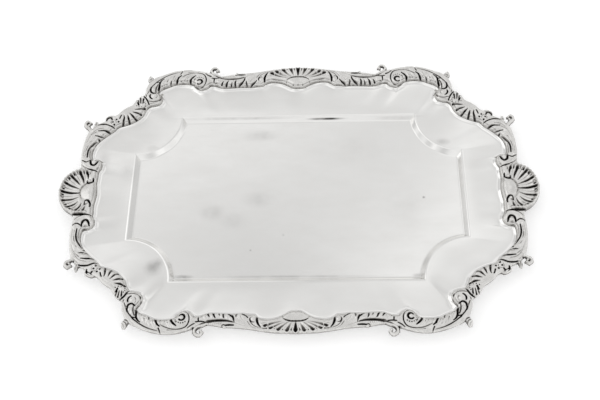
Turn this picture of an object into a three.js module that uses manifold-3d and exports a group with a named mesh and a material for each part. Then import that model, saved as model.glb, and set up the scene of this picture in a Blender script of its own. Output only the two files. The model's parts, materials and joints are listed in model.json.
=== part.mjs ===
// A silver serving tray with a stepped well and a cast border of shells, scrolls and leaves.
// Millimetres, +Z up. The origin is on the table plane under the middle of the well,
// +X runs to the right end shell and +Y to the back of the tray.
// The sheet body is raised in one piece. The border is 24 castings soldered round its edge:
// seven patterns, each repeated by mirroring about the two centre planes.
import * as THREE from "three";
import { mergeVertices } from "three/addons/utils/BufferGeometryUtils.js";
import Module from "manifold-3d";

const wasm = await Module();
wasm.setup();

// Driving dimensions
const SHEET = 1.2; // thickness of the raised sheet
const WELL_X = 184; // half length of the well at its shoulder
const WELL_Y = 104; // half width of the well at its shoulder
const NOTCH_R = 50; // radius of the four concave corners of the well
const BEVEL = 4.5; // run of the sloping well wall in plan
const WELL_DEPTH = 5; // from the shoulder down to the floor
const BRIM_RISE = 1.6; // how far the brim climbs from the shoulder to the upturn
const UPTURN_RUN = 6; // width of the upturned edge in plan
const LAND_Z = 10; // top of the land that carries the castings
const LAND_SLOPE = 0.4; // rise of the land from its inner to its outer edge
const SOLDER = 0.3; // height of the solder line under the castings
const JOINT_GAP = 0.5; // gap between neighbouring castings
const BASE_Z = LAND_Z + SOLDER; // underside of every casting
const WEB = 2.4; // thickness of the flat web that ties one casting together
const ROOT = 1.1; // height inside the web where the raised work starts

// ---- solids -------------------------------------------------------------------------------

// A closed solid from its points and faces, turned right side out.
function solidOf(points, faces) {
  const edgeA = new THREE.Vector3();
  const edgeB = new THREE.Vector3();
  let volume = 0;
  for (let i = 0; i < faces.length; i += 3) {
    edgeA.copy(points[faces[i + 1]]);
    edgeB.copy(points[faces[i + 2]]);
    volume += points[faces[i]].dot(edgeA.cross(edgeB));
  }
  if (volume < 0)
    for (let i = 0; i < faces.length; i += 3)
      [faces[i + 1], faces[i + 2]] = [faces[i + 2], faces[i + 1]];
  const geometry = new THREE.BufferGeometry().setFromPoints(points);
  geometry.setIndex(faces);
  return toSolid(geometry);
}

function toSolid(geometry) {
  const bare = geometry.clone();
  bare.deleteAttribute("normal");
  bare.deleteAttribute("uv");
  const merged = mergeVertices(bare, 1e-4);
  return new wasm.Manifold(
    new wasm.Mesh({
      numProp: 3,
      vertProperties: new Float32Array(merged.attributes.position.array),
      triVerts: new Uint32Array(merged.index.array),
    }),
  );
}

// Joins solids and fills any sealed pocket left between them.
function join(solids) {
  const joined = solids.reduce((all, next) => all.add(next));
  const filled = joined.decompose().filter((body) => body.volume() > 0);
  return filled.reduce((all, next) => all.add(next));
}

// Lofts rings of equal length, each a list of Vector3, and caps both end rings.
function loft(rings) {
  const count = rings[0].length;
  const faces = [];
  for (let ring = 0; ring + 1 < rings.length; ring++)
    for (let i = 0; i < count; i++) {
      const a = ring * count + i;
      const b = ring * count + ((i + 1) % count);
      faces.push(a, b, b + count, a, b + count, a + count);
    }
  const last = (rings.length - 1) * count;
  for (let i = 1; i + 1 < count; i++) {
    faces.push(0, i + 1, i);
    faces.push(last, last + i, last + i + 1);
  }
  return solidOf(rings.flat(), faces);
}

const smooth = (points, closed = false) =>
  new THREE.CatmullRomCurve3(
    points.map(([x, y]) => new THREE.Vector3(x, y, 0)),
    closed,
    "centripetal",
  );

// The value at t (0 to 1) of a list of evenly spaced values.
function valueAt(values, t) {
  if (values.length === 1) return values[0];
  const place = t * (values.length - 1);
  const low = Math.min(Math.floor(place), values.length - 2);
  return THREE.MathUtils.lerp(values[low], values[low + 1], place - low);
}

// Cross-sections of a band: [across, up] as fractions of its half width and height.
const FLAT_TOP = [[-1, 0], [-0.6, 1], [0.6, 1], [1, 0]];
const RIDGED = [[-1, 0], [0, 1], [1, 0]];

// A raised band along a plan curve. Half widths and heights are lists spaced evenly along it.
function band(points, halfWidths, heights, steps, section = FLAT_TOP) {
  const curve = smooth(points);
  const rings = [];
  for (let i = 0; i <= steps; i++) {
    const t = i / steps;
    const centre = curve.getPointAt(t);
    const tangent = curve.getTangentAt(t);
    const side = new THREE.Vector3(tangent.y, -tangent.x, 0);
    const halfWidth = valueAt(halfWidths, t);
    const height = valueAt(heights, t);
    rings.push(
      section.map(([across, up]) =>
        centre
          .clone()
          .addScaledVector(side, across * halfWidth)
          .setZ(BASE_Z + THREE.MathUtils.lerp(ROOT, height, up)),
      ),
    );
  }
  return loft(rings);
}

// A band that arrives along `lead`, then winds in round an eye and ends in a bead there.
// `turns` is signed: positive winds anticlockwise seen from above.
const SPIRAL_POINTS_PER_TURN = 8;
function volute({ lead, eye, endRadius, turns, halfWidths, heights, steps, eyeRadius, eyeTop }) {
  const last = lead[lead.length - 1];
  const startAngle = Math.atan2(last[1] - eye[1], last[0] - eye[0]);
  const startRadius = Math.hypot(last[0] - eye[0], last[1] - eye[1]);
  const count = Math.round(Math.abs(turns) * SPIRAL_POINTS_PER_TURN);
  const points = [...lead];
  for (let i = 1; i <= count; i++) {
    const radius = THREE.MathUtils.lerp(startRadius, endRadius, i / count);
    const angle = startAngle + (2 * Math.PI * turns * i) / count;
    points.push([eye[0] + radius * Math.cos(angle), eye[1] + radius * Math.sin(angle)]);
  }
  return band(points, halfWidths, heights, steps).add(bead(eye[0], eye[1], eyeRadius, eyeTop));
}

// A leaf lobe: a ridged band that swells and then runs out to a low tip.
const LOBE_STEPS = 3;
const lobe = (points, halfWidths, heights) => band(points, halfWidths, heights, LOBE_STEPS, RIDGED);

// A domed stud at a point in plan, such as the eye of a volute or a bud.
const STUD_SIDES = 6;
function bead(x, y, radius, top) {
  const profile = [[0, ROOT], [radius, ROOT], [radius * 0.85, top * 0.85], [0, top]];
  const stud = new THREE.LatheGeometry(
    profile.map(([r, z]) => new THREE.Vector2(r, z)),
    STUD_SIDES,
  );
  stud.rotateX(Math.PI / 2);
  stud.translate(x, y, BASE_Z);
  return toSolid(stud);
}

// The flat web of a casting: a closed outline, extruded.
function web(points) {
  const shape = new THREE.Shape(points.map(([x, y]) => new THREE.Vector2(x, y)));
  const plate = new THREE.ExtrudeGeometry(shape, { depth: WEB, bevelEnabled: false });
  plate.translate(0, 0, BASE_Z);
  return toSolid(plate);
}

// A fluted fan between two plan curves. Each entry of `profile` is [level, height], from the
// hinge (level 0) to the rim (level 1); the flutes deepen and the rim is scalloped outwards.
const STEPS_PER_FLUTE = 2;
function fan({ hinge, rim, profile, flutes, depth, scallop }) {
  const hingeCurve = smooth(hinge);
  const rimCurve = smooth(rim);
  const count = flutes * STEPS_PER_FLUTE;
  const rings = [];
  for (let i = 0; i <= count; i++) {
    const u = i / count;
    const ridge = 0.5 - 0.5 * Math.cos(2 * Math.PI * flutes * u);
    const start = hingeCurve.getPointAt(u);
    const end = rimCurve.getPointAt(u);
    const ray = end.clone().sub(start);
    end.addScaledVector(ray.normalize(), scallop * ridge);
    const top = profile.map(([level, height]) =>
      start.clone().lerp(end, level).setZ(BASE_Z + height - depth * level * (1 - ridge)),
    );
    rings.push([start.clone().setZ(BASE_Z + ROOT), ...top, end.clone().setZ(BASE_Z + ROOT)]);
  }
  return loft(rings);
}

// Keeps what lies to the left of the plan line from p to q, less half a joint gap.
const CUTTER = 600;
function keepLeft(solid, [p, q]) {
  const box = new THREE.BoxGeometry(CUTTER, CUTTER, CUTTER);
  box.translate(0, -CUTTER / 2 + JOINT_GAP / 2, 0);
  box.rotateZ(Math.atan2(q[1] - p[1], q[0] - p[0]));
  box.translate((p[0] + q[0]) / 2, (p[1] + q[1]) / 2, 0);
  return solid.subtract(toSolid(box));
}
const keepRight = (solid, [p, q]) => keepLeft(solid, [q, p]);

function toGeometry(solid) {
  const mesh = solid.getMesh();
  const geometry = new THREE.BufferGeometry();
  geometry.setAttribute("position", new THREE.BufferAttribute(mesh.vertProperties, 3));
  geometry.setIndex(new THREE.BufferAttribute(mesh.triVerts, 1));
  geometry.computeVertexNormals();
  return geometry;
}

// ---- the sheet body -----------------------------------------------------------------------

// One quadrant of each plan curve in three stretches: the long side, the cut corner, the end.
const BORDER_INNER = [
  [[0, 142], [12, 145], [28, 150], [48, 145], [60, 144], [97, 146], [113, 142], [130, 149],
    [146, 149], [160, 141], [160, 126]],
  [[160, 126], [169, 118], [178, 111], [187, 99], [208, 89], [222, 75], [231, 63]],
  [[231, 63], [234, 52], [226, 43], [222, 35], [223, 18], [223, 0]],
];
const SHEET_EDGE = [
  [[0, 160], [30, 157], [60, 153], [90, 153], [115, 158], [140, 160], [158, 154], [170, 145],
    [174, 130]],
  [[174, 130], [181, 119], [195, 107], [212, 95], [228, 84], [235, 74]],
  [[235, 74], [239, 58], [239, 44], [238, 34], [245, 20], [252, 0]],
];
const STRETCH_STEPS = [12, 8, 6];

// Walks one quadrant of a three-stretch curve and leaves out its last point, which is on +X.
function quadrantOf(stretches) {
  return stretches.flatMap((points, k) => {
    const curve = smooth(points);
    const steps = STRETCH_STEPS[k];
    return Array.from({ length: steps }, (_, i) => curve.getPointAt(i / steps));
  });
}

// One quadrant of the well outline, set in by `inset` from its shoulder.
function wellQuadrant(inset) {
  const [sideSteps, cornerSteps, endSteps] = STRETCH_STEPS;
  const radius = NOTCH_R + inset;
  const slack = Math.asin(inset / radius);
  const reach = radius * Math.cos(slack);
  const side = Array.from(
    { length: sideSteps },
    (_, i) => new THREE.Vector3(((WELL_X - reach) * i) / sideSteps, WELL_Y - inset, 0),
  );
  const corner = Array.from({ length: cornerSteps }, (_, i) => {
    const t = i / cornerSteps;
    const angle = THREE.MathUtils.lerp(Math.PI + slack, 1.5 * Math.PI - slack, t);
    const x = WELL_X + radius * Math.cos(angle);
    const y = WELL_Y + radius * Math.sin(angle);
    return new THREE.Vector3(x, y, 0);
  });
  const end = Array.from(
    { length: endSteps },
    (_, i) => new THREE.Vector3(WELL_X - inset, (WELL_Y - reach) * (1 - i / endSteps), 0),
  );
  return [...side, ...corner, ...end];
}

// Completes a ring from a quadrant that runs from the +Y axis to just short of the +X axis.
function fullRing(quadrant, onX, z) {
  const mirror = (list, sx, sy) => list.map((p) => new THREE.Vector3(p.x * sx, p.y * sy, z));
  const upper = [...quadrant, new THREE.Vector3(onX, 0, 0)];
  const right = [...upper, ...mirror(upper, 1, -1).reverse().slice(1)];
  const left = mirror(right, -1, 1).reverse().slice(1, -1);
  return mirror([...right, ...left], 1, 1);
}

const lastX = (stretches) => stretches[2][stretches[2].length - 1][0];

// Rings of the sheet's upper face, from the edge of the floor outwards.
function sheetRings() {
  const shoulderZ = SHEET + WELL_DEPTH;
  const shoulder = wellQuadrant(0);
  const inner = quadrantOf(BORDER_INNER);
  const upturn = inner.map((p, i) =>
    p.clone().addScaledVector(shoulder[i].clone().sub(p).normalize(), UPTURN_RUN),
  );
  return [
    fullRing(wellQuadrant(BEVEL), WELL_X - BEVEL, SHEET),
    fullRing(shoulder, WELL_X, shoulderZ),
    fullRing(upturn, lastX(BORDER_INNER) - UPTURN_RUN, shoulderZ + BRIM_RISE),
    fullRing(inner, lastX(BORDER_INNER), LAND_Z - LAND_SLOPE),
    fullRing(quadrantOf(SHEET_EDGE), lastX(SHEET_EDGE), LAND_Z),
  ];
}

function trayBody() {
  const top = sheetRings();
  const bottom = top.map((ring) => ring.map((p) => p.clone().setZ(p.z - SHEET)));
  const count = top[0].length;
  const rings = [...bottom, ...[...top].reverse()];
  const under = rings.length * count;
  const over = under + 1;
  const points = [...rings.flat(), new THREE.Vector3(0, 0, 0), new THREE.Vector3(0, 0, SHEET)];
  const faces = [];
  for (let ring = 0; ring + 1 < rings.length; ring++)
    for (let i = 0; i < count; i++) {
      const a = ring * count + i;
      const b = ring * count + ((i + 1) % count);
      faces.push(a, b, b + count, a, b + count, a + count);
    }
  const last = (rings.length - 1) * count;
  for (let i = 0; i < count; i++) {
    const next = (i + 1) % count;
    faces.push(under, next, i);
    faces.push(over, last + i, last + next);
  }
  return solidOf(points, faces);
}

// ---- the castings, drawn in the +X +Y quadrant --------------------------------------------

// Solder joints between neighbouring castings: plan lines that run outwards, so that the
// casting nearer the middle of the long side is to the left of each line.
const SHELL_TO_LEAF = [[51.5, 130], [51.5, 175]];
const LEAF_TO_VOLUTE = [[104.3, 130], [104.3, 175]];
const VOLUTE_TO_CORNER = [[146, 143], [138, 170]];
const CORNER_TO_SHELL = [[176.5, 112], [184, 137]];
const SHELL_TO_SCROLL = [[205, 86.5], [229, 93.5]];
const SCROLL_TO_END = [[215, 27.8], [252, 28.6]];
const flipX = ([p, q]) => [[-p[0], p[1]], [-q[0], q[1]]];
const flipY = ([p, q]) => [[p[0], -p[1]], [q[0], -q[1]]];

const mirrorPoints = (points, sx, sy) => points.map(([x, y]) => [x * sx, y * sy]);
// A symmetric list from its first half, which ends on the mirror line.
const bothHalves = (half, sx, sy) => [...half, ...mirrorPoints(half, sx, sy).reverse().slice(1)];

// The fan in the middle of each long side, between two C scrolls, over a domed hinge lobe.
function sideShell() {
  const cScroll = (side) =>
    volute({
      lead: mirrorPoints([[22, 163.5], [36, 161], [46, 157], [49, 150]], side, 1),
      eye: [side * 42.5, 149],
      endRadius: 3.4,
      turns: -0.95 * side,
      halfWidths: [1.4, 1.8, 1.5, 0.9],
      heights: [4, 6.5, 6, 4.5],
      steps: 10,
      eyeRadius: 1.7,
      eyeTop: 5.5,
    });
  const shell = fan({
    hinge: bothHalves([[-17, 148], [-11, 147.5], [0, 151]], -1, 1),
    rim: bothHalves([[-40, 159.5], [-26, 163], [0, 164.5]], -1, 1),
    profile: [[0, 3.6], [0.7, 9.2], [1, 3]],
    flutes: 11,
    depth: 1.8,
    scallop: 1.2,
  });
  const plate = web(
    bothHalves([[-42, 143.5], [-29, 149.5], [-12, 144], [0, 140.5]], -1, 1).concat([
      [42, 158],
      [0, 160],
      [-42, 158],
    ]),
  );
  const boss = band(bothHalves([[-12, 146.5], [-7, 144.5], [0, 144]], -1, 1), [1.5, 4.2, 1.5], [3, 5, 3], 6);
  const solid = join([plate, shell, boss, bead(0, 148, 3, 6.4), cScroll(-1), cScroll(1)]);
  return keepRight(keepLeft(solid, SHELL_TO_LEAF), flipX(SHELL_TO_LEAF));
}

// The long leaf spray beside the shell, which ends in a small scroll over the edge.
function sideLeaf() {
  const solid = join([
    web([[50, 147], [56, 142], [66, 141.2], [77, 142.2], [88, 142.2], [99, 145], [104, 150],
      [105, 160], [99, 167], [91, 160], [72, 161], [60, 160], [50, 159.5]]),
    volute({
      lead: [[53, 157.5], [61, 152.5], [75, 151], [88, 153], [99, 160.5]],
      eye: [97, 165.2],
      endRadius: 2.2,
      turns: 0.8,
      halfWidths: [1.8, 2.2, 1.9, 1.4, 1.1],
      heights: [5, 6, 7.2, 8.6, 8],
      steps: 10,
      eyeRadius: 1.4,
      eyeTop: 7,
    }),
    lobe([[62, 152], [58, 147], [55.5, 142.8]], [2.2, 2.8, 1], [5.5, 5, 3]),
    lobe([[71, 151], [68, 146.5], [66, 142]], [2.2, 3, 1], [5.5, 5.4, 3]),
    lobe([[80, 151], [78, 147], [76, 142.8]], [2.2, 3, 1], [5.5, 5.4, 3]),
    lobe([[90, 153], [89, 148], [88, 143]], [2.2, 3, 1], [5.5, 5.4, 3]),
    lobe([[76, 155], [84, 156], [91, 159]], [1, 2.4, 1], [5, 4.6, 3]),
    lobe([[94, 152], [99, 154], [103.5, 158.5]], [1.4, 2.4, 0.8], [5, 5, 3]),
  ]);
  return keepLeft(keepRight(solid, SHELL_TO_LEAF), LEAF_TO_VOLUTE);
}

// The big volute at the end of each long side, with leaves springing from its back.
function voluteLeaf() {
  const solid = join([
    web([[104, 151], [105.5, 144.5], [110, 140.2], [116, 139.6], [122, 143.5], [131, 148],
      [141, 147], [147, 146], [141, 166], [130, 166.5], [117, 165], [107.5, 160.5]]),
    volute({
      lead: [[140, 161], [131, 163.8], [121, 162.8], [112, 159.5], [106.8, 153.5]],
      eye: [114, 148],
      endRadius: 3.6,
      turns: 1.25,
      halfWidths: [1.6, 2.6, 2.6, 2.2, 1.7, 1.2],
      heights: [5, 7, 8, 7.4, 6.4, 5],
      steps: 13,
      eyeRadius: 1.8,
      eyeTop: 6,
    }),
    lobe([[119, 160], [124, 155], [130.5, 149]], [1.6, 3.2, 1], [6.4, 5.8, 3.2]),
    lobe([[127, 161], [134, 154], [141, 146]], [1.6, 3.4, 1], [6.4, 6, 3.2]),
  ]);
  return keepLeft(keepRight(solid, LEAF_TO_VOLUTE), VOLUTE_TO_CORNER);
}

// The leafy C scroll that turns the corner from the long side into the cut corner.
function cornerScroll() {
  const solid = join([
    web([[144, 150], [150, 148], [155, 145], [160, 141.2], [163, 137.5], [159, 131], [159, 123.5],
      [164.5, 119], [171, 119], [177, 123], [179, 131], [178, 140], [176, 148], [177.5, 156],
      [168, 156], [158, 160.5], [146, 165.5], [138, 166]]),
    volute({
      lead: [[143, 162.5], [158, 158], [169.5, 150.5], [176, 140], [177.3, 129]],
      eye: [167, 127],
      endRadius: 4,
      turns: -0.95,
      halfWidths: [1.6, 2.4, 2.8, 2.4, 1.9, 1.3],
      heights: [5, 7, 8, 7.6, 6.8, 5],
      steps: 13,
      eyeRadius: 2,
      eyeTop: 6,
    }),
    lobe([[150, 160], [151, 154], [150.5, 148.5]], [1.6, 3, 1], [6, 5.6, 3]),
    lobe([[158, 157], [160, 150], [159, 142.5]], [1.6, 3.2, 1], [6, 5.8, 3]),
    lobe([[168, 151], [168.5, 143], [165, 137]], [1.6, 2.8, 1], [6, 5.8, 3.4]),
    bead(174.5, 155, 3.8, 5),
  ]);
  return keepLeft(keepRight(solid, VOLUTE_TO_CORNER), CORNER_TO_SHELL);
}

// The asymmetric shell on the cut corner, fluted towards the well, between two scrolls.
function cornerShell() {
  const solid = join([
    web([[177.5, 119], [177, 112], [179, 105.5], [184.5, 99.5], [191, 95.5], [199, 91.5],
      [206, 89.2], [214, 90.2], [222, 94], [221, 99], [213, 103], [207, 107], [199, 113],
      [192.5, 118], [191, 127], [185, 129], [181, 126]]),
    fan({
      hinge: [[184, 117], [190, 112], [198, 107], [205, 101]],
      rim: [[177.5, 113], [180, 105], [187, 98.5], [196, 92.8], [206, 90]],
      profile: [[0, 7], [1, 3.4]],
      flutes: 7,
      depth: 1.8,
      scallop: 1.2,
    }),
    band([[189, 118], [194, 112.5], [201, 108], [209, 102]], [2.2, 3, 3, 2], [6.4, 8, 8, 6.4], 8),
    volute({
      lead: [[178.5, 114], [180, 122], [184.5, 128.6]],
      eye: [186.8, 124],
      endRadius: 2.4,
      turns: -0.8,
      halfWidths: [1.5, 1.8, 1.4, 1],
      heights: [5, 6.4, 6, 4.5],
      steps: 9,
      eyeRadius: 1.5,
      eyeTop: 5.4,
    }),
    volute({
      lead: [[206, 103.5], [213.5, 101.2]],
      eye: [217.6, 96.8],
      endRadius: 2.2,
      turns: -0.85,
      halfWidths: [1.8, 1.7, 1.2],
      heights: [6, 6, 4.5],
      steps: 10,
      eyeRadius: 1.5,
      eyeTop: 5.4,
    }),
  ]);
  return keepLeft(keepRight(solid, CORNER_TO_SHELL), SHELL_TO_SCROLL);
}

// The reeded scroll on each end, which winds in beside the end shell.
function endScroll() {
  const solid = join([
    web([[208, 88.5], [211, 84.5], [216, 79.5], [224.5, 71], [230.5, 63], [233.5, 54.5],
      [231, 45.5], [224.5, 43.5], [220.8, 38], [221.5, 31.5], [226, 27], [240, 26.5],
      [242.5, 34], [244, 44], [244, 54], [242.5, 65], [240.5, 77], [244.5, 86], [243, 92],
      [236, 92.5], [228, 96], [218, 90]]),
    volute({
      lead: [[237, 84], [238, 74], [240.2, 62], [240.2, 50], [236.5, 38]],
      eye: [227.6, 36.6],
      endRadius: 3.4,
      turns: -0.9,
      halfWidths: [2, 3.2, 3.4, 2.8, 1.8, 1.2],
      heights: [5.5, 7.4, 8, 7.4, 6.2, 4.8],
      steps: 13,
      eyeRadius: 1.8,
      eyeTop: 5.8,
    }),
    volute({
      lead: [[237.5, 79], [242.5, 84]],
      eye: [240.4, 88.4],
      endRadius: 2.2,
      turns: 0.75,
      halfWidths: [1.8, 1.6, 1.1],
      heights: [6, 9.6, 11],
      steps: 9,
      eyeRadius: 1.4,
      eyeTop: 9.6,
    }),
    lobe([[236, 84], [224, 85.5], [211, 86]], [1.8, 3.2, 1], [6.4, 5.6, 3]),
    lobe([[237, 77], [227, 78], [216.5, 80]], [1.8, 3.4, 1], [6.4, 5.8, 3]),
    lobe([[238, 68], [232, 69], [225.5, 71.5]], [1.8, 3, 1], [6.4, 5.8, 3]),
    bead(231.8, 93.2, 2.8, 4.6),
  ]);
  return keepLeft(keepRight(solid, SHELL_TO_SCROLL), SCROLL_TO_END);
}

// The fan at the middle of each end, with a smooth hinge between two volutes.
function endShell() {
  const hingeVolute = (side) =>
    volute({
      lead: mirrorPoints([[243, 17.5], [234, 19.5]], 1, side),
      eye: [230.6, side * 13],
      endRadius: 3,
      turns: 0.85 * side,
      halfWidths: [1.4, 1.6, 1.1],
      heights: [5.6, 6, 4.6],
      steps: 10,
      eyeRadius: 1.7,
      eyeTop: 5.6,
    });
  const plate = web(
    bothHalves([[238, -27], [224, -27], [221.8, -19], [222, -8], [221, 0]], 1, -1).concat([
      [254, 18],
      [257, 0],
      [254, -18],
    ]),
  );
  const shell = fan({
    hinge: bothHalves([[239, -23], [237, -14], [238.5, 0]], 1, -1),
    rim: bothHalves([[246.5, -27], [255.5, -20.5], [261, -11], [263, 0]], 1, -1),
    profile: [[0, 7.4], [0.4, 6.8], [0.86, 12.6], [1, 7]],
    flutes: 10,
    depth: 1.8,
    scallop: 1.5,
  });
  const dome = band([[224, 0], [232, 0], [241, 0]], [5, 7.5, 5], [3.4, 6.6, 7], 5);
  const solid = join([plate, shell, dome, hingeVolute(-1), hingeVolute(1)]);
  return keepLeft(keepRight(solid, SCROLL_TO_END), flipY(SCROLL_TO_END));
}

// ---- the assembly -------------------------------------------------------------------------

const sheetSilver = () =>
  new THREE.MeshStandardMaterial({ color: 0xdcdbd8, roughness: 0.28, metalness: 1 });
const castSilver = () =>
  new THREE.MeshStandardMaterial({ color: 0xc9c7c2, roughness: 0.34, metalness: 1 });

const tray = new THREE.Group();
tray.name = "silver_tray";

function place(name, solid, material, sx = 1, sy = 1) {
  const mesh = new THREE.Mesh(toGeometry(solid), material());
  mesh.name = name;
  mesh.scale.set(sx, sy, 1);
  tray.add(mesh);
}

const SIDES = [["back", 1], ["front", -1]];
const ENDS = [["right", 1], ["left", -1]];

place("tray_body", trayBody(), sheetSilver);
for (const [side, sy] of SIDES) place(`side_shell_${side}`, sideShell(), castSilver, 1, sy);
for (const [end, sx] of ENDS) place(`end_shell_${end}`, endShell(), castSilver, sx, 1);
const quarterCastings = {
  side_leaf: sideLeaf(),
  volute_leaf: voluteLeaf(),
  corner_scroll: cornerScroll(),
  corner_shell: cornerShell(),
  end_scroll: endScroll(),
};
for (const [pattern, solid] of Object.entries(quarterCastings))
  for (const [side, sy] of SIDES)
    for (const [end, sx] of ENDS) place(`${pattern}_${side}_${end}`, solid, castSilver, sx, sy);

export default tray;
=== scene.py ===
import json
import math

import bpy
import numpy as np
from mathutils import Matrix, Vector


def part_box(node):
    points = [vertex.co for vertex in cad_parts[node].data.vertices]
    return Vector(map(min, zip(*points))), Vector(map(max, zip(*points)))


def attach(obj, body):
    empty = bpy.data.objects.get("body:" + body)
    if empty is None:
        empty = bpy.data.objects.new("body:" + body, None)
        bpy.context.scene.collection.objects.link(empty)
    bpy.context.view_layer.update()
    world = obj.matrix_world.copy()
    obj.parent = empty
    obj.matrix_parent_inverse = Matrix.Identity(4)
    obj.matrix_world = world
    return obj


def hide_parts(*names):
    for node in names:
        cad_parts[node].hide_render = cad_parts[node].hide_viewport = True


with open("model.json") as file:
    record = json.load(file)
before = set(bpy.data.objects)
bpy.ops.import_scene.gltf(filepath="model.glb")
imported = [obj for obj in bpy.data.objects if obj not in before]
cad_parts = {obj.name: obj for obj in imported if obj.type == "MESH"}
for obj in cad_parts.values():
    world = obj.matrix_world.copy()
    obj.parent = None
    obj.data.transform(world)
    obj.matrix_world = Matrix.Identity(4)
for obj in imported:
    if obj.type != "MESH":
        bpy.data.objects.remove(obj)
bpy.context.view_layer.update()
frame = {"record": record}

MM = 0.001

# ---- sizes, from the CAD frame ---------------------------------------------------------------
LAND_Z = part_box("tray_body")[1].z / MM
SHEET = next(
    mount["pos_m"][2] for mount in frame["record"]["mounts"] if mount["name"] == "serving_floor"
) / MM
WELL_X = 184.0  # half length of the well at its shoulder
WELL_Y = 104.0  # half width
NOTCH_R = 50.0  # radius of its four concave corners
WELL_DEPTH = 5.0
SHOULDER_Z = SHEET + WELL_DEPTH
BRIM_RISE = 1.4  # climb of the brim from the well's shoulder
BRIM_FLARE, FLARE_POWER = 0.9, 7  # the brim's soft rise near the border
UPTURN = 3.8  # width of the upturned edge next to the border


# ---- plan curves -----------------------------------------------------------------------------

def smooth_curve(points, step=0.35):
    """Points about `step` apart on the centripetal Catmull-Rom curve through `points`."""
    p = np.asarray(points, float)
    p = np.vstack([2 * p[0] - p[1], p, 2 * p[-1] - p[-2]])
    samples = []
    for i in range(1, len(p) - 2):
        a, b, c, d = p[i - 1], p[i], p[i + 1], p[i + 2]
        t0 = 0.0
        t1 = t0 + max(np.linalg.norm(b - a), 1e-6) ** 0.5
        t2 = t1 + max(np.linalg.norm(c - b), 1e-6) ** 0.5
        t3 = t2 + max(np.linalg.norm(d - c), 1e-6) ** 0.5
        count = max(2, int(np.linalg.norm(c - b) / step) + 1)
        t = np.linspace(t1, t2, count, endpoint=False)[:, None]
        ab = (t1 - t) / (t1 - t0) * a + (t - t0) / (t1 - t0) * b
        bc = (t2 - t) / (t2 - t1) * b + (t - t1) / (t2 - t1) * c
        cd = (t3 - t) / (t3 - t2) * c + (t - t2) / (t3 - t2) * d
        abc = (t2 - t) / (t2 - t0) * ab + (t - t0) / (t2 - t0) * bc
        bcd = (t3 - t) / (t3 - t1) * bc + (t - t1) / (t3 - t1) * cd
        samples.append((t2 - t) / (t2 - t1) * abc + (t - t1) / (t2 - t1) * bcd)
    return np.vstack(samples + [p[-2][None]])


def distance_to(curve, x, y):
    """Distance from each plan point to a sampled curve."""
    near = np.full(x.shape, 1e9)
    for px, py in curve:
        near = np.minimum(near, (x - px) ** 2 + (y - py) ** 2)
    return np.sqrt(near)


def inside(polygon, x, y):
    """True where a plan point lies inside a polygon."""
    within = np.zeros(x.shape, bool)
    for (ax, ay), (bx, by) in zip(polygon, np.roll(polygon, -1, axis=0)):
        if ay == by:
            continue
        crosses = ((ay > y) != (by > y)) & (x < (bx - ax) * (y - ay) / (by - ay) + ax)
        within ^= crosses
    return within


def smoothstep(v):
    """Rises from 0 to 1, level at both ends."""
    v = np.clip(v, 0.0, 1.0)
    return v * v * (3 - 2 * v)


def rounded(v):
    """Rises from 0 to 1 along a parabola that ends level."""
    return 1 - (1 - np.clip(v, 0.0, 1.0)) ** 2


def soft_dot(d):
    """A soft dome: 1 in the middle, 0 from distance 1 on."""
    return (1 - np.minimum(d, 1) ** 2) ** 1.5


# One quadrant of the border's inner edge, its outer edge and the edge of the sheet under it.
INNER_EDGE = smooth_curve(
    [(0, 140.3), (6, 140.8), (12, 144.2), (20, 148), (30, 149.3), (37, 147.8), (42, 144), (48, 144),
     (54, 142.8), (62, 143.2), (75, 142.8), (90, 142.6), (98, 145.4), (103, 145.6), (107, 142),
     (114, 139.6), (119.5, 142), (124, 147), (133, 149), (145, 148.2), (153, 144.6), (160, 141.4),
     (164, 137), (160.8, 132.5), (158.8, 126.5), (161, 120.4), (167, 117.8), (173, 116.4),
     (176.6, 111.8), (179, 105.2), (184.6, 98.8), (191.5, 94.2), (200, 90.6), (206.5, 88.4),
     (211, 83.2), (218, 77.4), (226, 69.6), (230, 64.2), (232.4, 57), (232.6, 50), (231, 45),
     (225.5, 44.2), (220.4, 39.6), (220.2, 33.2), (222.6, 28.4), (222.8, 22), (223.2, 14),
     (222.2, 7), (221.6, 0)]
)
OUTER_EDGE = smooth_curve(
    [(0, 166.6), (20, 165.8), (35, 163.9), (50, 161.4), (62, 160.2), (75, 159.3), (86, 157.2),
     (93, 157), (100, 160), (106, 161.4), (115, 164.4), (128, 166.6), (140, 166), (152, 163),
     (163, 158.6), (171, 154.2), (175.8, 148), (179, 139.6), (180.3, 131), (186, 127), (190, 121.5),
     (193, 116.6), (199, 112.6), (204, 108.6), (208, 104), (213, 101), (218, 98), (223, 94),
     (229, 91), (235, 87), (239, 81.4), (241.6, 74), (243.4, 64), (244.4, 54), (244.2, 44),
     (243.4, 37), (243.6, 31), (247.5, 27.4), (253.6, 23.4), (258.6, 17), (262, 9), (263.4, 0)]
)
SHEET_EDGE = smooth_curve(
    [(0, 160), (30, 157), (60, 153), (90, 152.4), (115, 158), (140, 160), (158, 153.4),
     (169.4, 145), (174, 131), (181, 119), (195, 107), (212, 95), (228, 84), (235, 74),
     (238.4, 58), (238.6, 44), (238.2, 34), (245, 20), (252, 0)]
)
BORDER = np.vstack([INNER_EDGE, OUTER_EDGE[::-1]])
SHEET_QUADRANT = np.vstack([SHEET_EDGE, [(0, 0)]])

# Joints between neighbouring castings, drawn outwards in the +X +Y quadrant.
SHELL_TO_LEAF = ((51.5, 130), (51.5, 175))
LEAF_TO_VOLUTE = ((104.6, 130), (104.6, 175))
VOLUTE_TO_CORNER = ((146, 143), (137.5, 170))
CORNER_TO_SHELL = ((173.8, 112), (184.4, 137))
SHELL_TO_SCROLL = ((205, 86.2), (229, 94.2))
SCROLL_TO_END = ((215, 27.6), (252, 28.8))
JOINT_GAP = 0.05  # hairline left between two castings
SOFT_LIMIT = 1.2  # a casting's highest millimetre eases in under the top of its CAD solid


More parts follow.
